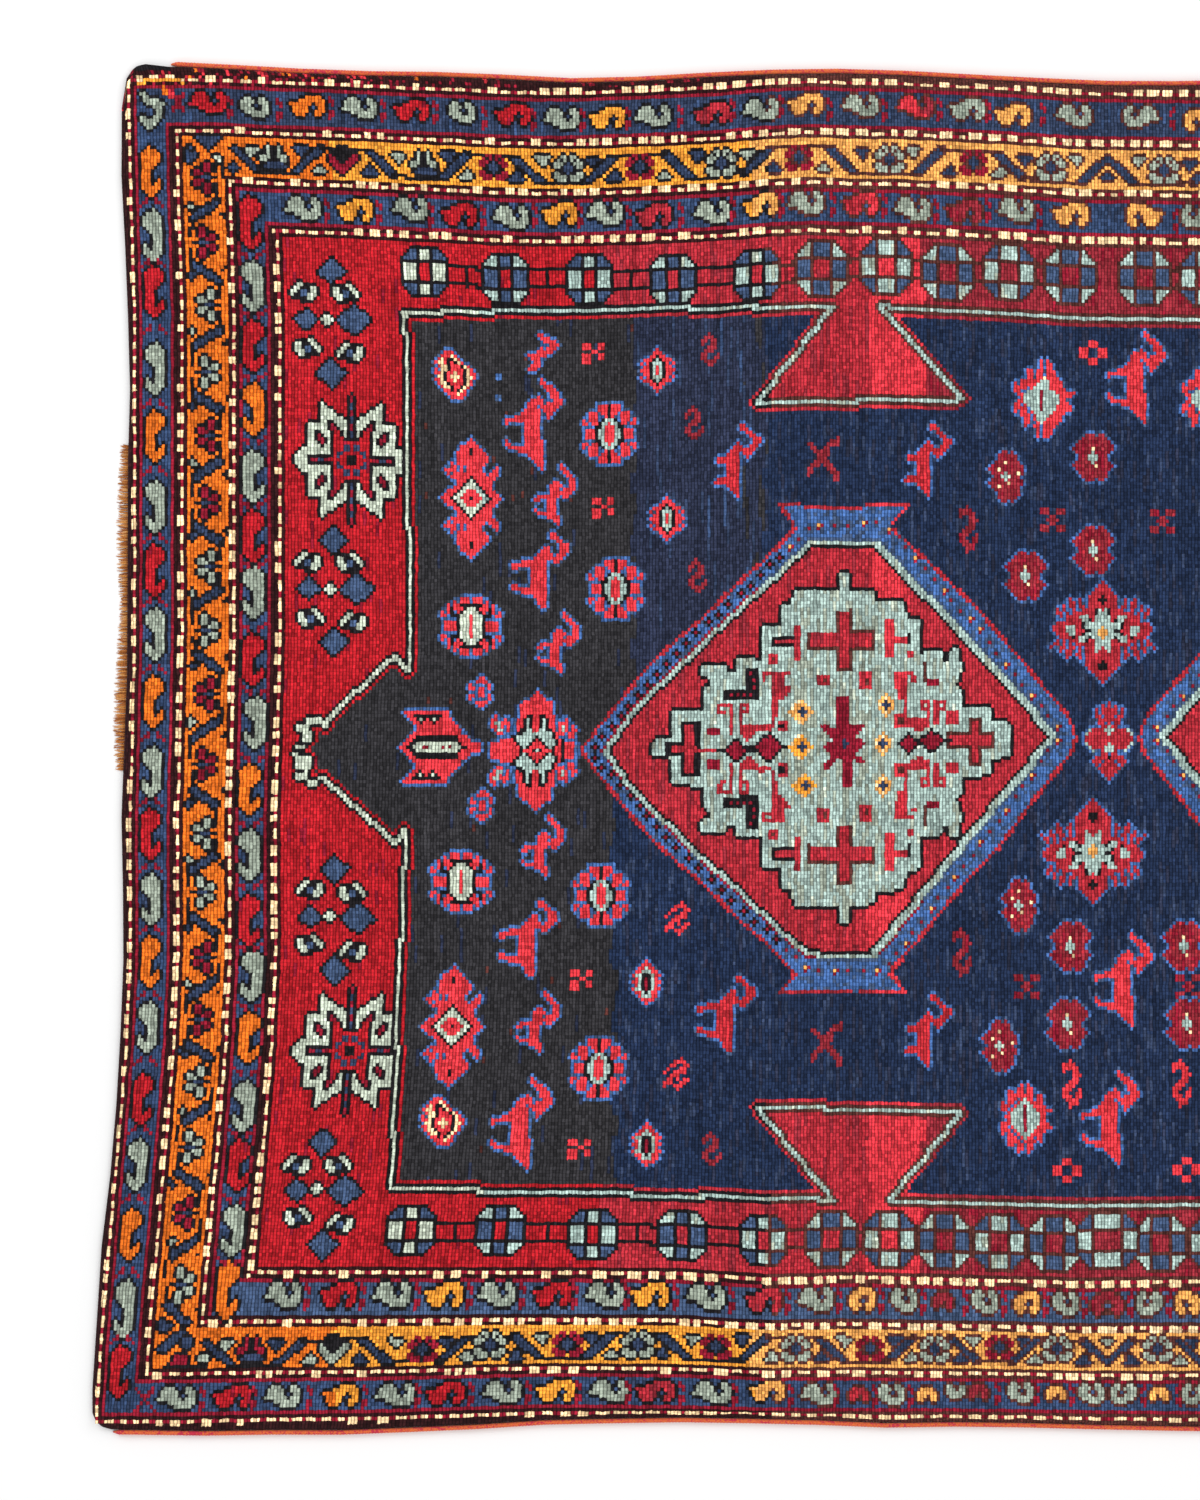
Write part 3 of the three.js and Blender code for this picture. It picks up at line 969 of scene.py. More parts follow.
# Bars of the pale ground, with their twins below. Columns: wool, left, top, right, bottom.
MEDALLION_BARS = (
    ("f", 835, 610, 853, 672), ("f", 806, 631, 875, 651), ("e", 838, 613, 850, 669),
    ("e", 809, 634, 872, 648), ("k", 770.5, 636, 793, 648), ("r", 774, 639, 793, 645),
    ("r", 793, 624, 800, 660), ("r", 885, 620, 894, 659), ("r", 893, 635, 909, 642),
    ("k", 908, 633, 912, 645), ("r", 767, 655, 777, 666), ("f", 770, 658, 774, 662),
    ("r", 818, 674, 831, 687), ("f", 822, 678, 827, 683), ("r", 860, 673, 873, 689),
    ("f", 864, 678, 869, 685), ("r", 906, 652, 915, 659), ("k", 747, 668, 758, 700),
    ("k", 724, 689.5, 758, 700), ("f", 922, 661, 926, 684), ("m", 926, 680, 938, 685),
    ("r", 729, 703, 733.5, 733.5), ("r", 718, 702, 733, 705.5), ("r", 718, 705, 721.5, 713),
    ("r", 719, 711, 727, 714.5), ("r", 738, 703, 741, 730), ("r", 738, 702, 750, 705.5),
    ("r", 747, 705, 750, 713), ("r", 742, 711, 750, 714.5), ("r", 762, 672, 771, 683),
    ("G", 765, 676, 771, 681), ("r", 776.5, 720, 787, 732), ("k", 777.5, 722.5, 783.5, 729),
    ("m", 708, 727, 719, 736), ("r", 895, 673, 907, 690), ("r", 899, 690, 906, 700),
    ("r", 903, 700, 906, 714), ("r", 894, 713, 907, 727), ("f", 898, 717, 903, 723),
    ("r", 907, 673, 915, 676), ("r", 912, 676, 916, 682), ("r", 928, 700, 931, 720),
    ("r", 920, 700, 931, 703), ("r", 920, 703, 923, 709), ("r", 920, 707, 927, 709.5),
    ("r", 934, 700, 938, 725), ("r", 934, 700, 946, 703), ("r", 943, 703, 946, 710),
    ("r", 939, 707.5, 946, 710), ("r", 947, 712, 958, 724),
)
# Bent shapes of the pale ground, with their twins below. Columns: wool, corner points.
MEDALLION_SHAPES = (
    ("r", ((738, 726), (765, 724), (773, 726), (773, 729.5), (758, 731), (748, 742), (738, 731))),
    ("r", ((771, 672), (791, 672), (792, 690), (777, 703), (776, 726), (772, 728))),
    ("G", ((786, 675), (789.5, 675), (789.5, 686), (786, 686))),
    ("r", ((907, 719), (931, 719), (931, 725), (919, 733), (907, 725))),
)
# Marks on the black angle of the pale ground.
ANGLE_MARKS = ((752, 673), (753, 680), (753, 687), (752, 694), (745, 694), (739, 694), (731, 694))
# Bars on the axis, without twins. Columns: wool, left, top, right, bottom.
AXIS_BARS = (
    ("k", 681, 720, 699, 776), ("k", 666, 743, 701, 757), ("r", 684, 724, 695.5, 772),
    ("r", 670, 746, 697, 754), ("k", 697, 747.5, 760, 751), ("r", 697, 748, 716, 751),
    ("f", 968, 717, 981, 766), ("f", 947, 731, 994, 748), ("e", 971, 720, 978, 763),
    ("e", 950, 735, 991, 744),
)
# Columns: wool, place along, place down, width, height.
AXIS_DIAMONDS = (
    ("m", 736, 749.6, 19, 21), ("m", 768.5, 747.5, 25, 25), ("m", 909, 744, 17, 20),
    ("m", 931.5, 741, 24, 19),
)
# Columns: wool, chart, place along, place down.
MEDALLION_FLOWERS = (
    ("p", PIERCED_FLOWER, 801.5, 710.7), ("y", PIERCED_FLOWER, 803.4, 748), ("y", PIERCED_FLOWER, 804, 787),
    ("p", OPEN_FLOWER, 885, 704.5), ("p", OPEN_FLOWER, 882, 743.5), ("p", OPEN_FLOWER, 882.6, 785),
)

# Where the black outlines are worn to brown and the small motifs' red changes, and the dyer's lots along the
# rug. Columns: wool in the chart, wool from there on, first place along, highest and lowest place down.
WORN_FROM = 767
SECOND_REDS_FROM = 690
DYE_LOTS = (
    ("F", "n", 632, 0, 790), ("F", "N", 614, 790, 1500), ("n", "N", 765, 0, 790),
    ("o", "y", 333, 0, 1500), ("y", "p", 752, 0, 250), ("y", "p", 752, 1250, 1500),
    ("r", "e", 600, 0, 1500), ("e", "B", 867, 0, 1500), ("B", "w", 922, 0, 500),
    ("B", "w", 922, 1000, 1500), ("B", "e", 905, 500, 1000), ("q", "G", 480, 0, 1500),
)
# Stray knots of another wool, one above the other in a row. Columns: wool, stray wool, share of the knots,
# knots in a run, from and to along the rug, highest and lowest place down.
STRAY_KNOTS = (
    ("F", "n", 0.03, 5, 0, 640, 0, 1500), ("F", "f", 0.003, 2, 0, 640, 0, 1500),
    ("n", "b", 0.08, 9, 625, 690, 0, 1500), ("n", "v", 0.06, 12, 690, 760, 0, 1500),
    ("n", "b", 0.16, 9, 700, 770, 0, 1500), ("n", "F", 0.12, 12, 740, 775, 0, 600),
    ("N", "b", 0.11, 4, 600, 1110, 0, 1500), ("N", "n", 0.12, 5, 600, 1110, 0, 1500),
    ("G", "g", 0.14, 3, 650, 1010, 0, 1500), ("G", "g", 0.22, 5, 795, 880, 0, 1500),
    ("G", "q", 0.05, 3, 650, 1010, 0, 1500), ("w", "m", 0.12, 5, 920, 1110, 0, 1500),
    ("e", "w", 0.14, 7, 600, 870, 0, 1500), ("r", "m", 0.03, 4, 100, 600, 0, 1500),
    ("u", "V", 0.2, 1, 400, 1110, 0, 1500), ("v", "b", 0.14, 3, 100, 1110, 0, 1500),
    ("b", "v", 0.12, 3, 100, 1110, 0, 300), ("d", "m", 0.2, 1, 118, 700, 60, 86),
    ("d", "o", 0.09, 1, 118, 560, 60, 80), ("d", "B", 0.08, 1, 118, 560, 60, 84),
)


def nearest_knot(cartoon, x, y):
    """The knot at a place of the photo: its row and column."""
    row, column = 0, COLUMNS // 2
    for _ in range(3):
        row = int(np.argmin(abs(cartoon.x[:, column] - x)))
        column = int(np.argmin(abs(cartoon.y[row] - y)))
    return row, column


class Cartoon:
    """The knot chart, which weavers call a cartoon: each knot's wool, and its place in the photo."""

    def __init__(self, rows):
        row, column = np.meshgrid(np.arange(rows), np.arange(COLUMNS), indexing="ij")
        self.x, self.y = photo_place(row + 0.5, column + 0.5)
        self.wools = np.full(row.shape, CODE["r"], np.int64)

    def polygon(self, corners):
        """The knots inside a closed outline."""
        hit = np.zeros(self.x.shape, bool)
        corners = list(corners)
        for (ax, ay), (bx, by) in zip(corners, corners[1:] + corners[:1]):
            if ay != by:
                crosses = (ay > self.y) != (by > self.y)
                hit ^= crosses & (self.x < (bx - ax) * (self.y - ay) / (by - ay) + ax)
        return hit

    def line(self, points, width):
        """The knots within half a width of a line through points."""
        hit = np.zeros(self.x.shape, bool)
        for (ax, ay), (bx, by) in zip(points, points[1:]):
            dx, dy = bx - ax, by - ay
            share = np.clip(((self.x - ax) * dx + (self.y - ay) * dy) / (dx * dx + dy * dy), 0, 1)
            hit |= np.hypot(self.x - ax - share * dx, self.y - ay - share * dy) <= width / 2
        return hit

    def thread(self, points):
        """The knots under a line one knot thick, which turns its corners without a gap."""
        hit = np.zeros(self.x.shape, bool)
        last = nearest_knot(self, *points[0])
        for (ax, ay), (bx, by) in zip(points, points[1:]):
            for share in np.linspace(0, 1, int(math.hypot(bx - ax, by - ay)) + 2):
                row, column = nearest_knot(self, ax + (bx - ax) * share, ay + (by - ay) * share)
                if row != last[0] and column != last[1]:
                    hit[row, last[1]] = True
                hit[row, column] = True
                last = (row, column)
        return hit

    def block(self, x0, y0, x1, y1):
        """The knots of an upright block, at least one row and one column of them."""
        wide = max(x1 - x0, LEAST_BLOCK[0])
        tall = max(y1 - y0, LEAST_BLOCK[1])
        return (abs(self.x - (x0 + x1) / 2) <= wide / 2) & (abs(self.y - (y0 + y1) / 2) <= tall / 2)

    def paint(self, mask, letter, outline=""):
        """Gives a wool to the knots of a mask, and another to the ones round them."""
        self.wools[mask] = CODE[letter]
        if outline:
            self.wools[grown(mask) & ~mask] = CODE[outline]

    def diamond(self, x, y, width, height, letter, outline=""):
        """A lozenge by its middle."""
        self.paint(abs(self.x - x) / width + abs(self.y - y) / height <= 0.5, letter, outline)

    def stamp(self, text, x, y, outline="", swap="", flip=""):
        """Knots a chart in with its middle at a place. swap is the wool for X, flip turns it in x or y."""
        lines = chart_lines(text)
        if "x" in flip:
            lines = [line[::-1] for line in lines]
        if "y" in flip:
            lines = lines[::-1]
        pattern = np.full((len(lines[0]) + 2, len(lines) + 2), -1)
        for down, line in enumerate(lines):
            for along, letter in enumerate(line):
                if letter != ".":
                    pattern[along + 1, down + 1] = CODE[swap if letter == "X" else letter]
        if outline:
            body = pattern >= 0
            pattern[grown(body) & ~body] = CODE[outline]
        row, column = nearest_knot(self, x, y)
        row -= pattern.shape[0] // 2
        column -= pattern.shape[1] // 2
        for (along, down), code in np.ndenumerate(pattern):
            i, j = row + along, column + down
            if code >= 0 and 0 <= i < self.wools.shape[0] and 0 <= j < COLUMNS:
                self.wools[i, j] = code


def stripe_letters(text):
    """One letter a knot from pairs of letter and count, such as "d3 c1"."""
    return "".join(part[0] * int(part[1:]) for part in text.split())


# The stripes from the rug's edge inwards, and how far in the beaded lines lie.
LEFT_STRIPES = stripe_letters("d2 c1 d1 m1 v9 m1 d2 c1 d1 o12 d1 c1 d1 m1 v7 m1 d2 c1 d1")
UPPER_STRIPES = stripe_letters("d3 c1 d1 m1 b10 m1 d1 c1 d1 o12 d1 c1 d1 m1 v8 m1 d1 c1 d1")
LOWER_STRIPES = stripe_letters("d2 c1 d1 m1 v8 m1 d1 c1 d1 o12 d1 c1 d1 V8 m1 d1 c1 d1")
LEFT_LINES = (0, 2.5, 17.5, 32.5, 45.5, 47)
UPPER_LINES = (0, 3.5, 18.5, 33.5, 46.5, 48)
LOWER_LINES = (0, 2.5, 15.5, 30.5, 42.5, 44)
LONG_BEADS_FROM = 130


def bead_pattern(length, beads, gaps, thick, seed):
    """Beads along a line of knots: 0 between them, 1 for a thin bead and 2 for a thick one. They grow longer
    and thicker away from the rug's end."""
    chance = np.random.default_rng(seed)
    pattern = []
    while len(pattern) < length:
        away = len(pattern) > LONG_BEADS_FROM
        bead = int(chance.choice(beads)) + (away and chance.random() < 0.8)
        kind = 2 if chance.random() < thick + 0.2 * away else 1
        pattern += [kind] * bead
        pattern += [0] * int(chance.choice(gaps))
    return np.array(pattern[:length])


def draw_borders(cartoon):
    """Three borders with beaded lines between them, mitred at the corners."""
    rows, columns = cartoon.wools.shape
    row, column = np.meshgrid(np.arange(rows), np.arange(columns), indexing="ij")
    from_left = np.interp(row + 0.5, LEFT_LINES, (0, 1, 2, 3, 4, 4.1))
    from_top = np.interp(column + 0.5, UPPER_LINES, (0, 1, 2, 3, 4, 4.1))
    from_bottom = np.interp(COLUMNS - column - 0.5, LOWER_LINES, (0, 1, 2, 3, 4, 4.1))
    nearest = np.minimum(from_left, np.minimum(from_top, from_bottom))
    sides = (
        (from_left, row, column, LEFT_STRIPES, 1), (from_top, column, row, UPPER_STRIPES, 11),
        (from_bottom, COLUMNS - 1 - column, row, LOWER_STRIPES, 21),
    )
    for depth, knot, along, stripes, seed in sides:
        here = (depth == nearest) & (knot < len(stripes))
        letters = np.array([CODE[letter] for letter in stripes + stripes[-1]])
        knot = np.minimum(knot, len(stripes) - 1)
        code = letters[knot]
        beside = (code == CODE["d"]) & (letters[knot + 1] == CODE["c"])
        for number in (1, 2, 3, 4):
            at_left = seed == 1
            size = ((2, 2, 3), (1, 2, 2), 0.35) if at_left else ((2, 3, 3), (2, 2, 1), 0.35)
            pattern = bead_pattern(ROWS, *size, seed + number)[along]
            line = np.rint(depth) == number
            code = np.where(line & (code == CODE["c"]) & (pattern == 0), CODE["m"], code)
            code = np.where(line & beside & (pattern == 2), CODE["c"], code)
        cartoon.wools[here] = code[here]


def sway_at(table, place):
    """How far a line sways at a place, from one of the sway tables."""
    return float(np.interp(place, *zip(*table)))


def draw_commas(cartoon):
    """Hooked commas in the two blue borders, with small crimson marks between them."""
    cartoon.stamp(FIRST_COMMA, 153.5, 111, outline="k", swap="g")
    for commas, centre, flip in ((LEFT_OUTER_COMMAS, 155.5, ""), (LEFT_INNER_COMMAS, 255, "y")):
        for down, letter, hook in commas:
            x = centre + sway_at(LEFT_SWAY, down)
            cartoon.stamp(TALL_COMMA, x, down, outline="k", swap=letter, flip="x" if hook == "L" else "")
        for (first, *_), (second, *_) in zip(commas, commas[1:]):
            middle = (first + second) / 2
            cartoon.stamp(CHEVRON, centre + sway_at(LEFT_SWAY, middle), middle, swap="m", flip=flip)
    runs = (
        (UPPER_OUTER_COMMAS, 112, UPPER_SWAY), (UPPER_INNER_COMMAS, 211, UPPER_SWAY),
        (LOWER_INNER_COMMAS, 1300.5, LOWER_SWAY_INSIDE), (LOWER_OUTER_COMMAS, 1394, LOWER_SWAY_OUTSIDE),
    )
    for commas, centre, table in runs:
        for along, letter, chart, opening in commas:
            y = centre + sway_at(table, along)
            cartoon.stamp(chart, along, y, outline="k", swap=letter, flip="y" if opening == "up" else "")
        for (first, *_), (second, *_) in zip(commas, commas[1:]):
            middle = (first + second) / 2
            if second - first > 32:
                cartoon.stamp(ANGLE, middle, centre + sway_at(table, middle), swap="m")


def draw_triangle(cartoon, x, y, width, height, letter):
    """A small triangle on its base, or on its tip where the height is negative."""
    base = y + height / 2
    corners = ((x - width / 2, base), (x + width / 2, base), (x, y - height / 2))
    cartoon.paint(cartoon.polygon(corners), letter, "k")


def draw_orange_run(cartoon, flowers, top, bottom, table, ends, under_roof):
    """Flowers in turn under a roof of two slanted blue bars and in a V of them, with triangles beside."""
    places = [ends[0]] + [(a[0] + b[0]) / 2 - 3 for a, b in zip(flowers, flowers[1:])] + [ends[1]]
    leans = [1 if letter == under_roof else -1 for _, letter, _ in flowers]
    bars = []
    for x, lean in zip(places, [-leans[0]] + leans):
        sway = sway_at(table, x)
        high, low = top + 13 + sway, bottom - 11 + sway
        upper, lower = x - lean * 13.5, x + lean * 13.5
        corners = ((upper - 4.2, high), (upper + 4.2, high), (lower + 4.2, low), (lower - 4.2, low))
        cartoon.paint(cartoon.polygon(corners), "b", "k")
        bars.append((x, high, low))
    for bar, next_bar, (along, letter, chart), lean in zip(bars, bars[1:], flowers, leans):
        x0, high0, low0 = bar
        x1, high1, low1 = next_bar
        level0, level1 = (high0, high1) if lean > 0 else (low0, low1)
        cartoon.paint(cartoon.thread(((x0 + 12, level0), (x1 - 12, level1))), "k")
        middle = (high0 + low0 + high1 + low1) / 4
        light_first = under_roof == "g" or along < 600
        for side in (-1, 1):
            fill = "g" if (side < 0) == light_first else "b"
            draw_triangle(cartoon, along + side * 25, middle + lean * 7, 17, lean * 10.5, fill)
        outline = "k" if letter == "g" or chart != BORDER_FLOWER else ""
        cartoon.stamp(chart, along, middle, swap=letter, outline=outline)
    turn = 1 if under_roof == "m" else -1
    draw_triangle(cartoon, MIDDLE, middle + turn * 7, 17, turn * 10.5, "b" if turn > 0 else "g")


def draw_orange_runs(cartoon):
    """Flowers between slanted blue bars in the orange border."""
    draw_orange_run(cartoon, UPPER_FLOWERS, 137.5, 187, UPPER_SWAY, (244.5, 1094), "m")
    draw_orange_run(cartoon, LOWER_FLOWERS, 1324, 1371.5, LOWER_SWAY_OUTSIDE, (219, 1095), "g")
    for (first, _, side), (second, *_) in zip(LEFT_FLOWERS, LEFT_FLOWERS[1:]):
        y = (first + second) / 2
        x = 206 + sway_at(LEFT_SWAY, y)
        lean = 1 if side == "R" else -1
        left, right = y + lean * 8.5, y - lean * 8.5
        corners = ((x - 13, left - 3.7), (x + 13, right - 3.7), (x + 13, right + 3.7), (x - 13, left + 3.7))
        cartoon.paint(cartoon.polygon(corners), "b", "k")
    for down, letter, side in LEFT_FLOWERS:
        x = 206 + sway_at(LEFT_SWAY, down)
        right = side == "R"
        edge = x + 13.5 if right else x - 14
        for start, end in ((-22, -7), (7, 22)):
            cartoon.paint(cartoon.thread(((edge, down + start), (edge, down + end))), "k")
        if right:
            for y, fill in ((down - 29, "b"), (down + 28, "g")):
                cartoon.paint(cartoon.polygon(((x - 17, y - 4.6), (x - 17, y + 4.6), (x - 10, y))), fill, "k")
        else:
            for y in (down - 28, down + 28):
                cartoon.paint(cartoon.polygon(((x + 20, y - 5), (x + 20, y + 5), (x + 14, y))), "k")
        cartoon.stamp(SIDE_FLOWER, x + (-2 if right else 3), down, swap=letter, flip="" if right else "x")
    for letter, points in CORNER_SHAPES:
        cartoon.paint(cartoon.polygon(points), letter, "" if letter == "k" else "k")
    for letter, width, points in CORNER_STROKES:
        cartoon.paint(cartoon.line(points, width), letter)


def octagon_chart(kind, blue, worn):
    """An eight-sided flower of nine cells. The worn ones have lost the black lines between the cells."""
    cross, corner = ("q", blue) if kind == "A" else (blue, "q")
    lines = []
    for down in range(-7, 8):
        line = ""
        for along in range(-7, 8):
            a, b = abs(along), abs(down)
            black = a == 3 or b == 3 if worn else a in (2, 7) or b in (3, 7) or a + b == 11
            arm = a < 3 or b < 3 if worn else a < 2 or b < 3
            if a + b > 11:
                line += "."
            elif black:
                line += "f" if worn else "k"
            elif a < 3 and b < 3:
                line += "r"
            else:
                line += cross if arm else corner
        lines.append(line)
    return "|".join(lines)


def draw_red_ground(cartoon):
    """Octagons along the red ground, and palmettes and diamond clusters at the end."""
    for (x0, y0, _), (x1, y1, _) in zip(OCTAGONS, OCTAGONS[1:]):
        if x1 > x0:
            for step in (-8.7, 8.7):
                link = cartoon.thread(((x0 + 22, y0 + step), (x1 - 22, y1 + step)))
                cartoon.paint(link, "k" if x1 < WORN_FROM else "f")
            middle = (x0 + x1) / 2
            if x1 < 700:
                cartoon.paint(cartoon.thread(((middle, y0 - 8), (middle, y1 + 8))), "k")
    for x, y, kind in OCTAGONS:
        worn = x > WORN_FROM
        cartoon.stamp(octagon_chart(kind, "V", worn), x, y, outline="f" if worn else "")
    for x, y in CLUSTERS:
        for across, down, width, height in CLUSTER_DIAMONDS:
            cartoon.diamond(x + across, y + down, width, height, "V", "k")
        cartoon.stamp(SMALL_CROSS, x, y, outline="k")
        for across, down, flip in ((-22, -27, ""), (21, -26, "x"), (-19, 28, "x"), (23, 33, "")):
            cartoon.stamp(LEAF, x + across, y + down, outline="k", flip=flip)
    for x, y in PALMETTES:
        cartoon.stamp(mirrored(PALMETTE, "xy"), x, y, outline="k")


def draw_field(cartoon):
    """The dark field inside its light line, with the small motifs scattered over it."""
    inside = cartoon.polygon(FRAME_ABOVE + FIELD_END + FRAME_BELOW)
    light = cartoon.thread(FRAME_ABOVE) | cartoon.thread(FRAME_BELOW)
    for block in CROWN_BLOCKS:
        light |= cartoon.block(*block)
    black = grown(light) & ~light
    red = grown(light | black) & ~light & ~black & inside
    cartoon.field = inside & ~light & ~black & ~red
    cartoon.paint(cartoon.field, "F")
    cartoon.paint(black, "k")
    cartoon.paint(red, "r")
    cartoon.paint(light, "q")
    for text, x, y in QUARTERED_MOTIFS:
        cartoon.stamp(mirrored(text, "xy"), x, y)
    for text, x, y in HALVED_MOTIFS:
        cartoon.stamp(mirrored(text, "y"), x, y, outline="u")
    for text, x, y in OUTLINED_MOTIFS:
        cartoon.stamp(text.replace("R", "R" if x < SECOND_REDS_FROM else "s"), x, y, outline="u")
    for text, x, y in SMALL_MARKS:
        cartoon.stamp(text.replace("R", "R" if x < SECOND_REDS_FROM else "w"), x, y)


def below_axis(x, y):
    """The place below the medallion's axis that answers to one above it."""
    return 2 * float(np.interp(x, *zip(*MEDALLION_AXIS))) - y


def draw_medallion(cartoon):
    """The lozenge medallion: dotted blue band, light line, red ground and a stepped pale middle."""
    cartoon.paint(cartoon.polygon(MEDALLION_EDGE), "u")
    cartoon.paint(cartoon.line(MEDALLION_EDGE, 3.4), "e")
    inner = cartoon.polygon(MEDALLION_LIGHT_LINE)
    light = cartoon.thread(MEDALLION_LIGHT_LINE)
    light |= np.roll(light, -1, 0) & inner
    rim = grown(light) & ~light
    cartoon.paint(inner, "r")
    cartoon.paint(rim & ~inner, "V")
    near_line = cartoon.line(MEDALLION_LIGHT_LINE, 9)
    crimson_part = (cartoon.x < 760) | (cartoon.y > 900)
    cartoon.paint(near_line & ~inner & rim & crimson_part, "m")
    cartoon.paint(rim & inner, "k")
    cartoon.paint(light, "q")
    for (ax, ay), (bx, by) in zip(DOT_LINE, DOT_LINE[1:]):
        steps = max(1, round(math.hypot(bx - ax, by - ay) / DOT_SPACING))
        for step in range(steps):
            x = ax + (bx - ax) * (step + 0.5) / steps
            y = ay + (by - ay) * (step + 0.5) / steps
            dot = ".k.|kmk|.k." if x < 780 else ".V.|VmV|.V." if step % 3 else ".V.|Vpm|.m."
            cartoon.stamp(dot, x, y)
    ground = list(STEPPED_GROUND)
    ground += [(x, below_axis(x, y)) for x, y in STEPPED_GROUND[::-1]]
    cartoon.paint(cartoon.polygon(ground), "G", "k")
    for letter, x0, y0, x1, y1 in MEDALLION_BARS:
        cartoon.paint(cartoon.block(x0, y0, x1, y1), letter)
        cartoon.paint(cartoon.block(x0, below_axis(x0, y1), x1, below_axis(x0, y0)), letter)
    for letter, points in MEDALLION_SHAPES:
        cartoon.paint(cartoon.polygon(points), letter)
        cartoon.paint(cartoon.polygon([(x, below_axis(x, y)) for x, y in points]), letter)
    for x, y in ANGLE_MARKS:
        cartoon.stamp("m", x, y)
        cartoon.stamp("m", x, below_axis(x, y))
    for letter, x0, y0, x1, y1 in AXIS_BARS:
        cartoon.paint(cartoon.block(x0, y0, x1, y1), letter)
    for x, top, bottom in ((802, 690, 800), (883, 690, 800)):
        cartoon.paint(cartoon.thread(((x, top), (x, bottom))), "g")
    cartoon.paint(cartoon.thread(((736, 748), (790, 748))) | cartoon.thread(((898, 743), (950, 740))), "k")
    for letter, x, y, width, height in AXIS_DIAMONDS:
        cartoon.diamond(x, y, width, height, letter, "k")
    for letter, chart, x, y in MEDALLION_FLOWERS:
        cartoon.stamp(chart, x, y, swap=letter)
    cartoon.stamp(CENTRAL_STAR, 844.5, 742.5, swap="m")


def draw_middle_motifs(cartoon):
    """The motifs near the rug's middle, which the mirrored halves would cut."""
    for text, x, y, outline, flip in MIDDLE_MOTIFS:
        if x < 1078:
            cartoon.stamp(text, 2 * MIDDLE + 40 - x, y, outline=outline, swap="e", flip=flip)
        cartoon.stamp(text, x, y, outline=outline, swap="e", flip=flip)


def draw_cartoon():
    """The whole chart: the left half drawn and mirrored, the middle motifs, the dye lots and stray knots."""
    half = Cartoon(HALF)
    draw_borders(half)
    draw_commas(half)
    draw_orange_runs(half)
    draw_red_ground(half)
    draw_field(half)
    draw_medallion(half)
    whole = Cartoon(ROWS)
    whole.wools = np.concatenate([half.wools, half.wools[::-1]])
    draw_middle_motifs(whole)
    field = np.concatenate([half.field, half.field[::-1]])
    chance = np.random.default_rng(5)
    uneven = np.repeat(chance.integers(-1, 2, COLUMNS // 6 + 1), 6)[:COLUMNS]
    from_left = np.minimum(whole.x, 2 * MIDDLE - whole.x)
    place = from_left + uneven[None, :] * KNOT_LENGTH
    for letter, following, start, highest, lowest in DYE_LOTS:
        lot = (whole.wools == CODE[letter]) & (place > start) & (whole.y >= highest) & (whole.y < lowest)
        whole.wools[lot] = CODE[following]
    worn = np.isin(whole.wools, (CODE["k"], CODE["d"])) & ~field & (place > WORN_FROM)
    whole.wools[worn] = CODE["f"]
    for letter, stray, share, run, start, end, highest, lowest in STRAY_KNOTS:
        chosen = np.repeat(chance.random((ROWS, COLUMNS // run + 2)) < share, run, axis=1)
        for row, shift in enumerate(chance.integers(0, run, ROWS)):
            chosen[row, :COLUMNS] = chosen[row, shift : shift + COLUMNS]
        here = chosen[:, :COLUMNS] & (from_left > start) & (from_left < end)
        here &= (whole.y >= highest) & (whole.y < lowest) & (whole.wools == CODE[letter])
        whole.wools[here] = CODE[stray]
    return whole


def rim_of(node):
    """The cloth's outline in plan, from the ring of points at the top of its upright edge."""
    points = np.array([tuple(v.co) for v in node.data.vertices])
    ring = np.unique(np.round(points[np.abs(points[:, 2] - RIM_SHOULDER) < 0.1 * MM], 6), axis=0)[:, :2]
    ring = ring[np.argsort(np.arctan2(ring[:, 1], ring[:, 0]))]
    return np.vstack([ring[-1:], ring, ring[:1]])


def on_rim(ring, x, y):
    """The rim's point in the direction of each place, seen from the rug's middle."""
    angles = np.arctan2(ring[:, 1], ring[:, 0])
    angles[0] -= 2 * math.pi
    angles[-1] += 2 * math.pi
    k = np.clip(np.searchsorted(angles, np.arctan2(y, x), side="right"), 1, len(ring) - 1)
    a, b = ring[k - 1], ring[k]
    dx, dy = (b - a).T
    reach = (a[:, 0] * dy - a[:, 1] * dx) / (x * dy - y * dx)
    return x * reach, y * reach


def side_line(ring, upper):
    """A long side of the rim as two rows of numbers: place along, place across."""
    points = ring[1:-1]
    keep = (points[:, 1] > 0.6) if upper else (points[:, 1] < -0.6)
    line = points[keep & (abs(points[:, 0]) < 0.99)]
    return line[np.argsort(line[:, 0])].T


def add_piece(name, points, faces, node):
    """A mesh object that rides on the root and stands for a node of the frame."""
    mesh = bpy.data.meshes.new(name)
    mesh.from_pydata([tuple(p) for p in points], [], faces)
    mesh.update()
    piece = bpy.data.objects.new(name, mesh)
    bpy.context.scene.collection.objects.link(piece)
    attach(piece, "root")
    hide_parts(node)
    return piece


def smooth(piece, degrees):
    """Shades a piece smooth, except over edges sharper than the angle."""
    bpy.ops.object.select_all(action="DESELECT")
    piece.select_set(True)
    bpy.context.view_layer.objects.active = piece
    bpy.ops.object.shade_smooth_by_angle(angle=math.radians(degrees))


def add_loop_map(mesh, name, values):
    """Adds a map with one place to each corner of each face."""
    layer = mesh.uv_layers.new(name=name)
    layer.data.foreach_set("uv", np.asarray(values, np.float32).ravel())


def pack_codes(a, b, c, d):
    """Four knots' codes as one number: low row and column, next row, next column, both next."""
    return a + CODES * b + CODES**2 * c + CODES**3 * d


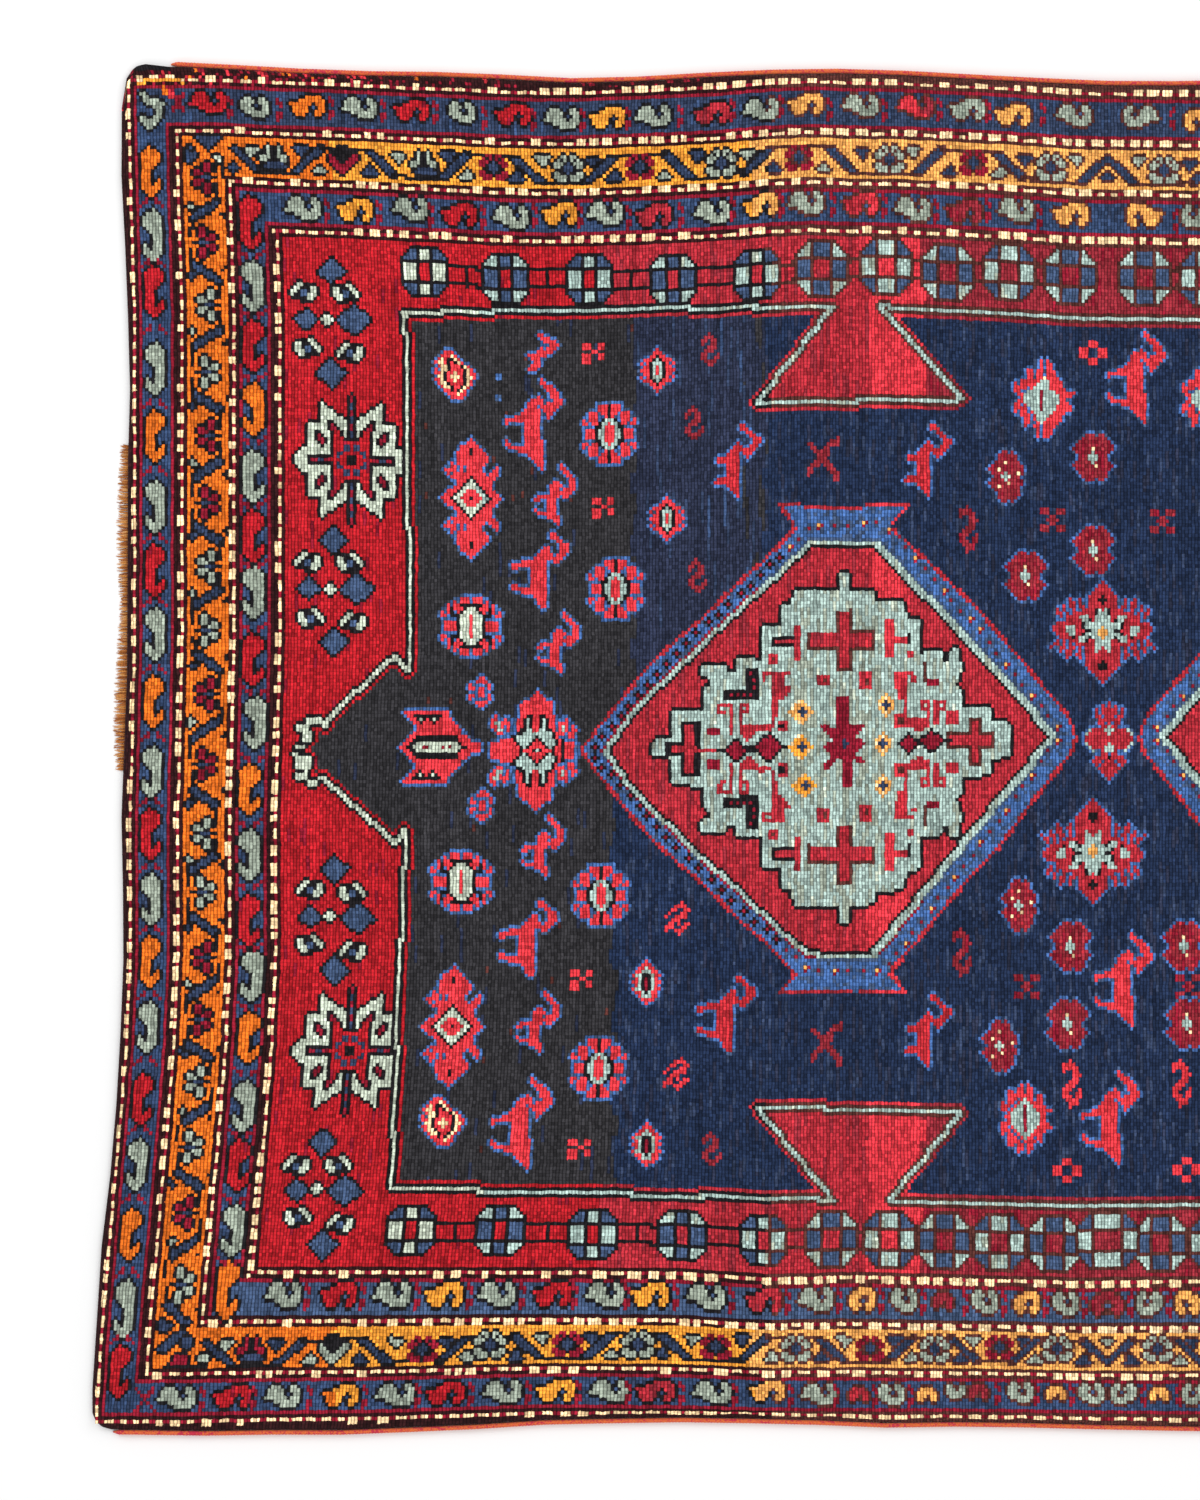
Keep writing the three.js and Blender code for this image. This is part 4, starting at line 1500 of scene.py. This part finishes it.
def add(tree, kind, sockets=None, **settings):
    """Adds a node with its settings and links. An input is a value, an output, or a node's first output."""
    node = tree.nodes.new(kind)
    for name, value in settings.items():
        setattr(node, name, value)
    for key, value in (sockets or {}).items():
        if isinstance(value, bpy.types.Node):
            value = value.outputs[0]
        if isinstance(value, bpy.types.NodeSocket):
            tree.links.new(value, node.inputs[key])
        else:
            node.inputs[key].default_value = value
    return node


def set_ramp(ramp, colours):
    """Gives a colour ramp its places and hex colours."""
    elements = ramp.color_ramp.elements
    while len(elements) < len(colours):
        elements.new(0.5)
    for element, (at, colour) in zip(elements, colours):
        element.position = at
        element.color = (*linear(colour), 1)


def new_material(name):
    """An empty material and its node tree."""
    material = bpy.data.materials.new(name)
    material.use_nodes = True
    material.node_tree.nodes.clear()
    return material, material.node_tree


def knotted_wool(name, wools, cut_pile):
    """Knotted wool: matt fibre that takes light softly. The cut pile has furrows between its rows, and each
    knot is a shade of its own; the back shows the knots as small flat beads. Painted shade darkens the colour
    in the furrows and between the knots of a row, more on the pile than on the back."""
    material, tree = new_material(name)
    face_map = add(tree, "ShaderNodeUVMap", uv_map="FaceMap")
    knot_map = add(tree, "ShaderNodeUVMap", uv_map="KnotMap")
    place = add(tree, "ShaderNodeTexCoord").outputs["Object"]

    # Tufts lean over their neighbours by up to a quarter of a knot, so edges between wools are ragged. The
    # noise lies round 0.5, so the middle of the face is passed at 0.5 plus half the lean.
    lean = add(tree, "ShaderNodeTexNoise", {
        "Vector": place, "Scale": 1 / (3.4 * MM), "Detail": 2.0, "Roughness": 0.6,
    })
    ragged = add(
        tree, "ShaderNodeVectorMath", {0: lean.outputs["Color"], 1: (0.5, 0.5, 0.5), 2: face_map},
        operation="MULTIPLY_ADD",
    )
    ragged = add(tree, "ShaderNodeSeparateXYZ", {0: ragged})
    next_row = add(tree, "ShaderNodeMath", {0: ragged.outputs[0], 1: 0.75}, operation="GREATER_THAN")
    next_column = add(tree, "ShaderNodeMath", {0: ragged.outputs[1], 1: 0.75}, operation="GREATER_THAN")

    # The face's number holds the wools of its four knots. The right one is divided out of it.
    codes = add(tree, "ShaderNodeAttribute", attribute_name="knot_codes", attribute_type="GEOMETRY")
    by_row = add(tree, "ShaderNodeMath", {0: next_row, 1: CODES - 1.0, 2: 1.0}, operation="MULTIPLY_ADD")
    by_column = add(
        tree, "ShaderNodeMath", {0: next_column, 1: CODES**2 - 1.0, 2: 1.0}, operation="MULTIPLY_ADD"
    )
    divisor = add(tree, "ShaderNodeMath", {0: by_row, 1: by_column}, operation="MULTIPLY")
    whole = add(tree, "ShaderNodeMath", {0: codes.outputs["Fac"], 1: 0.5}, operation="ADD")
    whole = add(tree, "ShaderNodeMath", {0: whole, 1: divisor}, operation="DIVIDE")
    whole = add(tree, "ShaderNodeMath", {0: whole}, operation="FLOOR")
    code = add(tree, "ShaderNodeMath", {0: whole, 1: float(CODES)}, operation="MODULO")
    share = add(tree, "ShaderNodeMath", {0: code, 1: 1 / CODES, 2: 0.5 / CODES}, operation="MULTIPLY_ADD")
    palette = add(tree, "ShaderNodeValToRGB", {0: share})
    ramp = palette.color_ramp
    ramp.interpolation = "CONSTANT"
    names = list(RugWools.__annotations__)
    while len(ramp.elements) < len(names):
        ramp.elements.new(0.5)
    for number, wool_name in enumerate(names):
        ramp.elements[number].position = number / CODES
        ramp.elements[number].color = (*getattr(wools, wool_name), 1)

    # Each row was knotted with its own length of yarn, so it is a shade lighter or darker for a hand's width.
    knot_at = add(tree, "ShaderNodeVectorMath", {0: knot_map}, operation="FLOOR")
    along_yarn = add(tree, "ShaderNodeVectorMath", {0: knot_at, 1: (0.83, 0.035, 0)}, operation="MULTIPLY")
    streak = add(tree, "ShaderNodeTexNoise", {"Vector": along_yarn, "Scale": 1.0, "Detail": 2.0})
    knot = add(tree, "ShaderNodeTexWhiteNoise", {"Vector": knot_at}, noise_dimensions="3D")
    fibre = add(tree, "ShaderNodeTexNoise", {
        "Vector": place, "Scale": 1 / (1.5 * MM), "Detail": 3.0, "Roughness": 0.7,
    })
    # A dye lot changes slowly along the rug: bands 20 to 60 mm wide that run across it.
    lot_at = add(tree, "ShaderNodeVectorMath", {0: place, 1: (1 / 0.045, 1 / 1.6, 0.0)}, operation="MULTIPLY")
    lot = add(tree, "ShaderNodeTexNoise", {"Vector": lot_at, "Scale": 1.0, "Detail": 1.0})

    # The furrow is deepest between two rows, and the step between two knots of a row is shallower. Both shape
    # the bump, and both also darken the colour there as painted shade, with the middle of each knot painted a
    # little lighter.
    in_knot = add(tree, "ShaderNodeVectorMath", {0: knot_map}, operation="FRACTION")
    from_middle = add(tree, "ShaderNodeVectorMath", {0: in_knot, 1: (0.5, 0.5, 0)}, operation="SUBTRACT")
    from_middle = add(tree, "ShaderNodeVectorMath", {0: from_middle}, operation="ABSOLUTE")
    from_middle = add(tree, "ShaderNodeVectorMath", {0: from_middle, "Scale": 2.0}, operation="SCALE")
    from_middle = add(tree, "ShaderNodeSeparateXYZ", {0: from_middle})
    furrow = add(tree, "ShaderNodeMath", {0: from_middle.outputs[0], 1: 3.0}, operation="POWER")
    step = add(tree, "ShaderNodeMath", {0: from_middle.outputs[1], 1: 4.0}, operation="POWER")

    # Columns: what shades the knot, shade at its lowest and at its highest. The streak, knot, fibre and dye
    # lot are the wool's own tone; the furrow and the step are painted shade between the knots, darker on the
    # pile than on the back.
    tones_and_painted_shade = (
        (streak, 0.35, 1.75), (knot, 0.6, 1.45), (fibre, 0.4, 1.7), (lot, 0.86, 1.16),
        (furrow, 1.15, 0.25 if cut_pile else 0.6), (step, 1.04, 0.72),
    )
    light = 1.0
    for value, low, high in tones_and_painted_shade:
        shade = add(tree, "ShaderNodeMapRange", {0: value, 3: low, 4: high})
        light = add(tree, "ShaderNodeMath", {0: light, 1: shade}, operation="MULTIPLY")
    tint = add(
        tree, "ShaderNodeMix", {0: 1.0, 6: palette.outputs["Color"], 7: light},
        data_type="RGBA", blend_type="MULTIPLY",
    )

    height = add(tree, "ShaderNodeMath", {0: furrow, 1: -0.7, 2: 0.0}, operation="MULTIPLY_ADD")
    for value, share in ((step, -0.3), (fibre, 0.5), (knot, 0.3)):
        height = add(tree, "ShaderNodeMath", {0: value, 1: share, 2: height}, operation="MULTIPLY_ADD")
    depth = 0.9 * MM if cut_pile else 0.5 * MM
    bump = add(tree, "ShaderNodeBump", {"Strength": 0.8, "Distance": depth, "Height": height})
    shader = add(tree, "ShaderNodeBsdfPrincipled", {
        "Base Color": tint.outputs[2], "Roughness": 0.95, "Normal": bump, "Sheen Weight": 0.03,
        "Sheen Roughness": 0.6, "Specular IOR Level": 0.05,
    })
    add(tree, "ShaderNodeOutputMaterial", {0: shader})
    return material


def wrapped_yarn(name, base, flecks):
    """Loosely spun wool wrapped over a cord: matt, with a fleck of a second colour where the ply turns."""
    material, tree = new_material(name)
    place = add(tree, "ShaderNodeTexCoord").outputs["Object"]
    patch = add(tree, "ShaderNodeTexNoise", {
        "Vector": place, "Scale": 1 / (26 * MM), "Detail": 3.0, "Roughness": 0.7,
    })
    fleck = add(tree, "ShaderNodeTexNoise", {"Vector": place, "Scale": 1 / (2.2 * MM), "Detail": 2.0})
    both = add(tree, "ShaderNodeMath", {0: patch, 1: fleck}, operation="ADD")
    share = add(tree, "ShaderNodeMath", {0: both, 1: 0.5}, operation="MULTIPLY")
    ramp = add(tree, "ShaderNodeValToRGB", {0: share})
    colours = ((0.43, flecks), (0.47, base), (0.53, base), (0.58, flecks))
    set_ramp(ramp, colours)
    fibre = add(tree, "ShaderNodeTexNoise", {"Vector": place, "Scale": 1 / (0.9 * MM), "Detail": 3.0})
    light = add(tree, "ShaderNodeMapRange", {0: fibre, 1: 0.2, 2: 0.8, 3: 0.7, 4: 1.2})
    tint = add(
        tree, "ShaderNodeMix", {0: 1.0, 6: ramp, 7: light}, data_type="RGBA", blend_type="MULTIPLY"
    )
    bump = add(tree, "ShaderNodeBump", {"Strength": 0.6, "Distance": 0.6 * MM, "Height": fibre})
    shader = add(tree, "ShaderNodeBsdfPrincipled", {
        "Base Color": tint.outputs[2], "Roughness": 0.9, "Normal": bump, "Sheen Weight": 0.15,
        "Specular IOR Level": 0.15,
    })
    add(tree, "ShaderNodeOutputMaterial", {0: shader})
    return material


def warp_wool(name):
    """Undyed and dyed warp ends, spun hard: each yarn has its own tone, darker near the cloth."""
    material, tree = new_material(name)
    place = add(tree, "ShaderNodeTexCoord").outputs["Object"]
    tone = add(tree, "ShaderNodeAttribute", attribute_name="yarn_tone", attribute_type="GEOMETRY")
    ramp = add(tree, "ShaderNodeValToRGB", {0: tone.outputs["Fac"]})
    colours = ((0.0, "#87491F"), (0.3, "#BC7239"), (0.55, "#DB984F"), (0.8, "#E6B17B"), (1.0, "#D28868"))
    set_ramp(ramp, colours)
    fibre = add(tree, "ShaderNodeTexNoise", {"Vector": place, "Scale": 1 / (0.8 * MM), "Detail": 3.0})
    light = add(tree, "ShaderNodeMapRange", {0: fibre, 1: 0.2, 2: 0.8, 3: 0.7, 4: 1.2})
    tint = add(
        tree, "ShaderNodeMix", {0: 1.0, 6: ramp, 7: light}, data_type="RGBA", blend_type="MULTIPLY"
    )
    bump = add(tree, "ShaderNodeBump", {"Strength": 0.5, "Distance": 0.4 * MM, "Height": fibre})
    shader = add(tree, "ShaderNodeBsdfPrincipled", {
        "Base Color": tint.outputs[2], "Roughness": 0.85, "Normal": bump, "Specular IOR Level": 0.2,
    })
    add(tree, "ShaderNodeOutputMaterial", {0: shader})
    return material


class RUG_OT_knotted_cloth(bpy.types.Operator):
    """Knots the rug's cloth from its chart: pile above, knots' backs below, and an upright edge"""

    bl_idname = "rug.knotted_cloth"
    bl_label = "Knotted cloth"

    def execute(self, context):
        sizes, wools = context.scene.rug_sizes, context.scene.rug_wools
        cartoon = draw_cartoon()
        chance = np.random.default_rng(11)
        ring = rim_of(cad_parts["knotted_weaving"])
        step = KNOTS_PER_FACE
        across, along = COLUMNS // step, ROWS // step
        rows, columns = np.meshgrid(np.arange(along + 1) * step, np.arange(across + 1) * step, indexing="ij")
        x, y = to_frame(*photo_place(rows, columns))
        upper, lower = side_line(ring, True), side_line(ring, False)
        margin = np.minimum(np.minimum(columns, COLUMNS - columns), 10) * 1.15 * MM + sizes.rim_inset
        y = np.clip(y, np.interp(x, *lower) + margin, np.interp(x, *upper) - margin)
        edge = (rows == 0) | (rows == ROWS) | (columns == 0) | (columns == COLUMNS)
        x = x + np.where(edge, 0, chance.uniform(-1, 1, x.shape) * sizes.knot_sway)
        y = y + np.where(edge, 0, chance.uniform(-1, 1, x.shape) * sizes.knot_sway)

        # The perimeter runs anticlockwise seen from above, from the lower left corner.
        path = [(a, across) for a in range(along)] + [(along, b) for b in range(across, 0, -1)]
        path += [(a, 0) for a in range(along, 0, -1)] + [(0, b) for b in range(across)]
        path = np.array(path)
        rim_x, rim_y = on_rim(ring, x[tuple(path.T)], y[tuple(path.T)])
        reach = np.hypot(rim_x, rim_y)
        inset = 1 - sizes.rim_inset / reach
        x[tuple(path.T)], y[tuple(path.T)] = rim_x * inset, rim_y * inset

        part_x = x / MM + ORIGIN_IN_PART[0]
        part_y = y / MM + ORIGIN_IN_PART[1]
        wave = 0.6 * np.sin(part_x / WAVE_ALONG + 0.6 * np.sin(part_y / (2 * WAVE_ACROSS)))
        wave += 0.4 * np.sin(part_y / WAVE_ACROSS - part_x / (2 * WAVE_ALONG) + 1.3)
        z = sizes.pile_height + sizes.pile_wave * wave + chance.uniform(-0.15, 0.15, x.shape) * MM
        z = np.minimum(z - np.where(edge, sizes.rim_drop, 0), cad_box[1].z)
        top = np.stack([x, y, z], -1).reshape(-1, 3)
        count = len(top)

        def at(a, b):
            return a * (across + 1) + b

        shoulder = np.stack([rim_x, rim_y, np.full(len(path), sizes.rim_shoulder)], -1)
        half_along, half_across = along // 2, across // 2
        foot_x, foot_y = x[::2, ::2].copy(), y[::2, ::2].copy()
        foot_path = path[::2] // 2
        foot_x[tuple(foot_path.T)], foot_y[tuple(foot_path.T)] = rim_x[::2], rim_y[::2]
        foot = np.stack([foot_x, foot_y, np.zeros_like(foot_x)], -1).reshape(-1, 3)
        foot_start = count + len(shoulder)

        def under(a, b):
            return foot_start + a * (half_across + 1) + b

        faces, codes, face_map, knot_map, bake_map, slots = [], [], [], [], [], []
        w = cartoon.wools
        square = ((0, 1), (1, 1), (1, 0), (0, 0))

        # The bake's picture holds the pile above, the back at the lower left and the edge at the lower right.
        def bake_place(row, column, under_side):
            if under_side:
                return (0.005 + 0.49 * row / ROWS, 0.005 + 0.31 * (1 - column / COLUMNS))
            return (0.002 + 0.996 * row / ROWS, 0.335 + 0.66 * (1 - column / COLUMNS))

        for a in range(along):
            for b in range(across):
                faces.append((at(a, b + 1), at(a + 1, b + 1), at(a + 1, b), at(a, b)))
                i, j = a * step, b * step
                codes.append(pack_codes(w[i, j], w[i + 1, j], w[i, j + 1], w[i + 1, j + 1]))
                face_map += square
                knot_map += [(i + u * step, j + v * step) for u, v in square]
                bake_map += [bake_place(i + u * step, j + v * step, False) for u, v in square]
                slots.append(0)
        under_square = ((0, 0), (1, 0), (1, 1), (0, 1))
        for a in range(half_along):
            for b in range(half_across):
                faces.append((under(a, b), under(a + 1, b), under(a + 1, b + 1), under(a, b + 1)))
                i, j = a * 4, b * 4
                codes.append(pack_codes(w[i + 1, j + 1], w[i + 3, j + 1], w[i + 1, j + 3], w[i + 3, j + 3]))
                face_map += under_square
                knot_map += [(i + u * 4, j + v * 4) for u, v in under_square]
                bake_map += [bake_place(i + u * 4, j + v * 4, True) for u, v in under_square]
                slots.append(1)

        # The upright edge takes the wools of the outermost knots.
        total = len(path)
        rim_knots = np.clip(path * step, 0, (ROWS, COLUMNS))
        outwards = np.stack([rim_x, rim_y * -1], -1) / reach[:, None]

        def edge_codes(k):
            a, b = rim_knots[k], rim_knots[(k + 1) % total]
            near, far = a + (b - a) * 0.25, a + (b - a) * 0.75
            return [w[min(int(row), ROWS - 1), min(int(column), COLUMNS - 1)] for row, column in (near, far)]

        def edge_place(k, level, turn):
            share = (k + turn) / total
            strip = int(share * 4 * 0.9999)
            return (0.52 + 0.46 * (share * 4 - strip), 0.01 + 0.07 * strip + 0.025 * level)

        for k in range(total):
            following = (k + 1) % total
            first, second = edge_codes(k)
            faces.append((count + k, count + following, at(*path[following]), at(*path[k])))
            codes.append(pack_codes(first, second, first, second))
            face_map += ((0, 0), (1, 0), (1, 1), (0, 1))
            for index, level in ((k, 1), (following, 1), (following, 0), (k, 0)):
                knot_map.append(tuple(rim_knots[index] + outwards[index] * level))
            bake_map += [edge_place(k, 1, 0), edge_place(k, 1, 1), edge_place(k, 2, 1), edge_place(k, 2, 0)]
            slots.append(0)
        for k in range(0, total, 2):
            after, last = (k + 1) % total, (k + 2) % total
            low, low_last = under(*(path[k] // 2)), under(*(path[last] // 2))
            first, second = edge_codes(k)
            third, fourth = edge_codes(after)
            for corners, levels, one, two in (
                ((low, low_last, count + after), ((k, 2), (last, 2), (after, 1)), second, third),
                ((low, count + after, count + k), ((k, 2), (after, 1), (k, 1)), first, second),
                ((low_last, count + last, count + after), ((last, 2), (last, 1), (after, 1)), third, fourth),
            ):
                faces.append(corners)
                codes.append(pack_codes(one, two, one, two))
                face_map += ((0, 0), (1, 0), (0.5, 1))
                for index, level in levels:
                    knot_map.append(tuple(rim_knots[index] + outwards[index] * level))
                    turn = {k: 0, after: 1, last: 2}[index]
                    bake_map.append(edge_place(k, 2 - level, turn))
                slots.append(0)

        points = np.concatenate([top, shoulder, foot])
        cloth = add_piece("knotted_pile_cloth", points, faces, "knotted_weaving")
        mesh = cloth.data
        add_loop_map(mesh, "FaceMap", face_map)
        add_loop_map(mesh, "KnotMap", knot_map)
        add_loop_map(mesh, "OFBake", bake_map)
        attribute = mesh.attributes.new("knot_codes", "FLOAT", "FACE")
        attribute.data.foreach_set("value", np.array(codes, np.float32))
        mesh.materials.append(knotted_wool("Cut wool pile, hand-knotted", wools, True))
        mesh.materials.append(knotted_wool("Wool knots, back of the cloth", wools, False))
        mesh.polygons.foreach_set("material_index", slots)
        smooth(cloth, 50)
        return {"FINISHED"}


def wrapped_cord(name, line, node, sizes, seed, outwards):
    """A cord along the rim with a wrapping of yarn round it, flat where it lies on the floor."""
    chance = np.random.default_rng(seed)
    start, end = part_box(node)
    first, last = start.x + 0.4 * MM, end.x - 0.4 * MM
    steps = int((last - first) / (sizes.wrap_pitch / 3))
    sides = 8
    points, faces = [], []
    gap = sizes.selvedge_gap * outwards
    # Each ring of points is a third of a turn of the yarn further on. The cord narrows at both ends.
    for k in range(steps + 1):
        share = k / steps
        x = first + (last - first) * share
        y = float(np.interp(x, *line)) + gap
        turn = k * 2 * math.pi / 3
        close = min(1.0, 0.35 + 9 * min(share, 1 - share) * (last - first) / 0.08)
        for s in range(sides):
            angle = 2 * math.pi * (s + 0.5) / sides
            ridge = 1 - 0.13 * (0.5 + 0.5 * math.cos(turn + angle))
            ridge *= 1 - 0.04 * chance.random()
            wide = sizes.selvedge_width / 2 * ridge * close
            high = sizes.selvedge_height / 2 * ridge * close
            lean = 0.5 * MM * math.sin(angle)
            z = max(0.0, sizes.selvedge_height / 2 * close + high * math.sin(angle))
            points.append((x + lean, y + wide * math.cos(angle), z))
    for k in range(steps):
        for s in range(sides):
            a, b = k * sides + s, k * sides + (s + 1) % sides
            faces.append((a, b, b + sides, a + sides))
    faces.append(tuple(range(sides))[::-1])
    faces.append(tuple(steps * sides + s for s in range(sides)))
    return add_piece(name, points, faces, node)


class RUG_OT_selvedges(bpy.types.Operator):
    """Wraps the two long sides in coral yarn"""

    bl_idname = "rug.selvedges"
    bl_label = "Wrapped selvedges"

    def execute(self, context):
        sizes = context.scene.rug_sizes
        ring = rim_of(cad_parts["knotted_weaving"])
        material = wrapped_yarn("Overcast wool, coral with crimson flecks", "#E2703A", "#C8314A")
        for name, node, upper, seed in (
            ("overcast_selvedge_upper", "selvedge_upper", True, 3),
            ("overcast_selvedge_lower", "selvedge_lower", False, 4),
        ):
            cord = wrapped_cord(name, side_line(ring, upper), node, sizes, seed, 1 if upper else -1)
            cord.data.materials.append(material)
            smooth(cord, 60)
        return {"FINISHED"}


class RUG_OT_fringe(bpy.types.Operator):
    """Lays the worn warp ends out from the left end of the cloth"""

    bl_idname = "rug.fringe"
    bl_label = "Warp-end fringe"

    def execute(self, context):
        chance = np.random.default_rng(8)
        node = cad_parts["warp_end_fringe"]
        points = np.array([tuple(v.co) for v in node.data.vertices])
        low, high = points[:, 1].min(), points[:, 1].max()
        bands = np.linspace(low, high, 60)
        inner, outer = [], []
        for a, b in zip(bands, bands[1:]):
            here = points[(points[:, 1] >= a - 2 * MM) & (points[:, 1] <= b + 2 * MM), 0]
            inner.append(here.max())
            outer.append(here.min())
        middles = (bands[1:] + bands[:-1]) / 2
        shape, faces, tones = [], [], []
        sides = 6
        yarns = 280
        taper = (1, 1, 0.95, 0.8, 0.35)
        tip_ring = len(taper) - 1
        for number in range(yarns):
            y = low + 1 * MM + (high - low - 2 * MM) * (number + 0.5) / yarns + chance.uniform(-0.4, 0.4) * MM
            root, tip = np.interp(y, middles, inner), np.interp(y, middles, outer)
            tip = root - (root - tip) * chance.uniform(0.62, 1.0)
            radius = chance.uniform(0.55, 0.85) * MM
            height = radius + chance.uniform(0, 1.1) * MM
            slant = chance.uniform(-1.6, 1.6) * MM
            tone = float(chance.random())
            start = len(shape)
            for k, narrowing in enumerate(taper):
                share = k / tip_ring
                size = radius * narrowing
                cx = root + (tip - root) * share
                cy = y + slant * share * share
                cz = max(size, height * (1 - 0.5 * share))
                for s in range(sides):
                    angle = 2 * math.pi * s / sides + share * 4
                    shape.append((cx, cy + size * math.cos(angle), cz + size * math.sin(angle)))
                    tones.append(min(1.0, max(0.0, tone * (0.55 + 0.45 * share) + 0.1 * share)))
            for k in range(tip_ring):
                for s in range(sides):
                    a, b = start + k * sides + s, start + k * sides + (s + 1) % sides
                    faces.append((a, a + sides, b + sides, b))
            faces.append(tuple(start + s for s in range(sides)))
            faces.append(tuple(start + tip_ring * sides + s for s in range(sides))[::-1])
        fringe = add_piece("warp_end_yarns", shape, faces, "warp_end_fringe")
        attribute = fringe.data.attributes.new("yarn_tone", "FLOAT", "POINT")
        attribute.data.foreach_set("value", tones)
        fringe.data.materials.append(warp_wool("Spun warp wool, worn ends"))
        smooth(fringe, 70)
        return {"FINISHED"}


class RUG_OT_stage(bpy.types.Operator):
    """Adds the pale floor, soft studio light and the camera straight above"""

    bl_idname = "rug.stage"
    bl_label = "Studio stage"

    def execute(self, context):
        scene = context.scene
        bpy.ops.object.select_all(action="DESELECT")
        bpy.ops.mesh.primitive_plane_add(size=14, location=(0, 0, 0))
        floor = context.object
        floor.name = "studio_floor"
        material, tree = new_material("Pale painted floor, matt")
        paint = (*linear("#F4F4F4"), 1)
        shader = add(tree, "ShaderNodeBsdfPrincipled", {"Base Color": paint, "Roughness": 0.9})
        add(tree, "ShaderNodeOutputMaterial", {0: shader})
        floor.data.materials.append(material)
        world = bpy.data.worlds.new("studio_room")
        world.use_nodes = True
        world.node_tree.nodes["Background"].inputs[0].default_value = (1, 1, 1, 1)
        world.node_tree.nodes["Background"].inputs[1].default_value = 0.75
        scene.world = world
        lamps = (((-2.6, 2.2, 3.2), 2.4, 60), ((2.2, 2.6, 3.0), 2.4, 32), ((0.2, -3.0, 3.2), 2.6, 32))
        for place, size, power in lamps:
            bpy.ops.object.light_add(type="AREA", location=place)
            lamp = context.object
            lamp.data.size = size
            lamp.data.energy = power
            aim = -Vector(place) + Vector((-0.3, 0, 0))
            lamp.rotation_euler = aim.to_track_quat("-Z", "Y").to_euler()
        lens = 90.0
        sensor = 36
        bpy.ops.object.camera_add(rotation=(0, 0, 0))
        camera = context.object
        x, y = to_frame(*PHOTO_CENTRE)
        camera.location = (float(x), float(y), 8 * MM + PHOTO_HEIGHT * lens / sensor)
        camera.data.lens = lens
        camera.data.sensor_width = sensor
        camera.data.clip_end = 50
        scene.camera = camera
        scene.view_settings.view_transform = "Standard"
        return {"FINISHED"}


OPERATORS = (RUG_OT_knotted_cloth, RUG_OT_selvedges, RUG_OT_fringe, RUG_OT_stage)


class RUG_PT_panel(bpy.types.Panel):
    """Lists the rug's pieces, sizes and wools"""

    bl_idname = "RUG_PT_panel"
    bl_label = "Kazak rug"
    bl_space_type = "VIEW_3D"
    bl_region_type = "UI"
    bl_category = "Rug"

    def draw(self, context):
        layout = self.layout
        for operator in OPERATORS:
            layout.operator(operator.bl_idname)
        for group in (context.scene.rug_sizes, context.scene.rug_wools):
            column = layout.column()
            for name in group.__annotations__:
                column.prop(group, name)


CLASSES = (RugWools, RugSizes, *OPERATORS, RUG_PT_panel)


def register():
    for cls in CLASSES:
        bpy.utils.register_class(cls)
    bpy.types.Scene.rug_wools = bpy.props.PointerProperty(type=RugWools)
    bpy.types.Scene.rug_sizes = bpy.props.PointerProperty(type=RugSizes)


def unregister():
    del bpy.types.Scene.rug_sizes
    del bpy.types.Scene.rug_wools
    for cls in reversed(CLASSES):
        bpy.utils.unregister_class(cls)


def main():
    register()
    bpy.ops.rug.knotted_cloth()
    bpy.ops.rug.selvedges()
    bpy.ops.rug.fringe()
    bpy.ops.rug.stage()


if __name__ == "__main__":
    main()
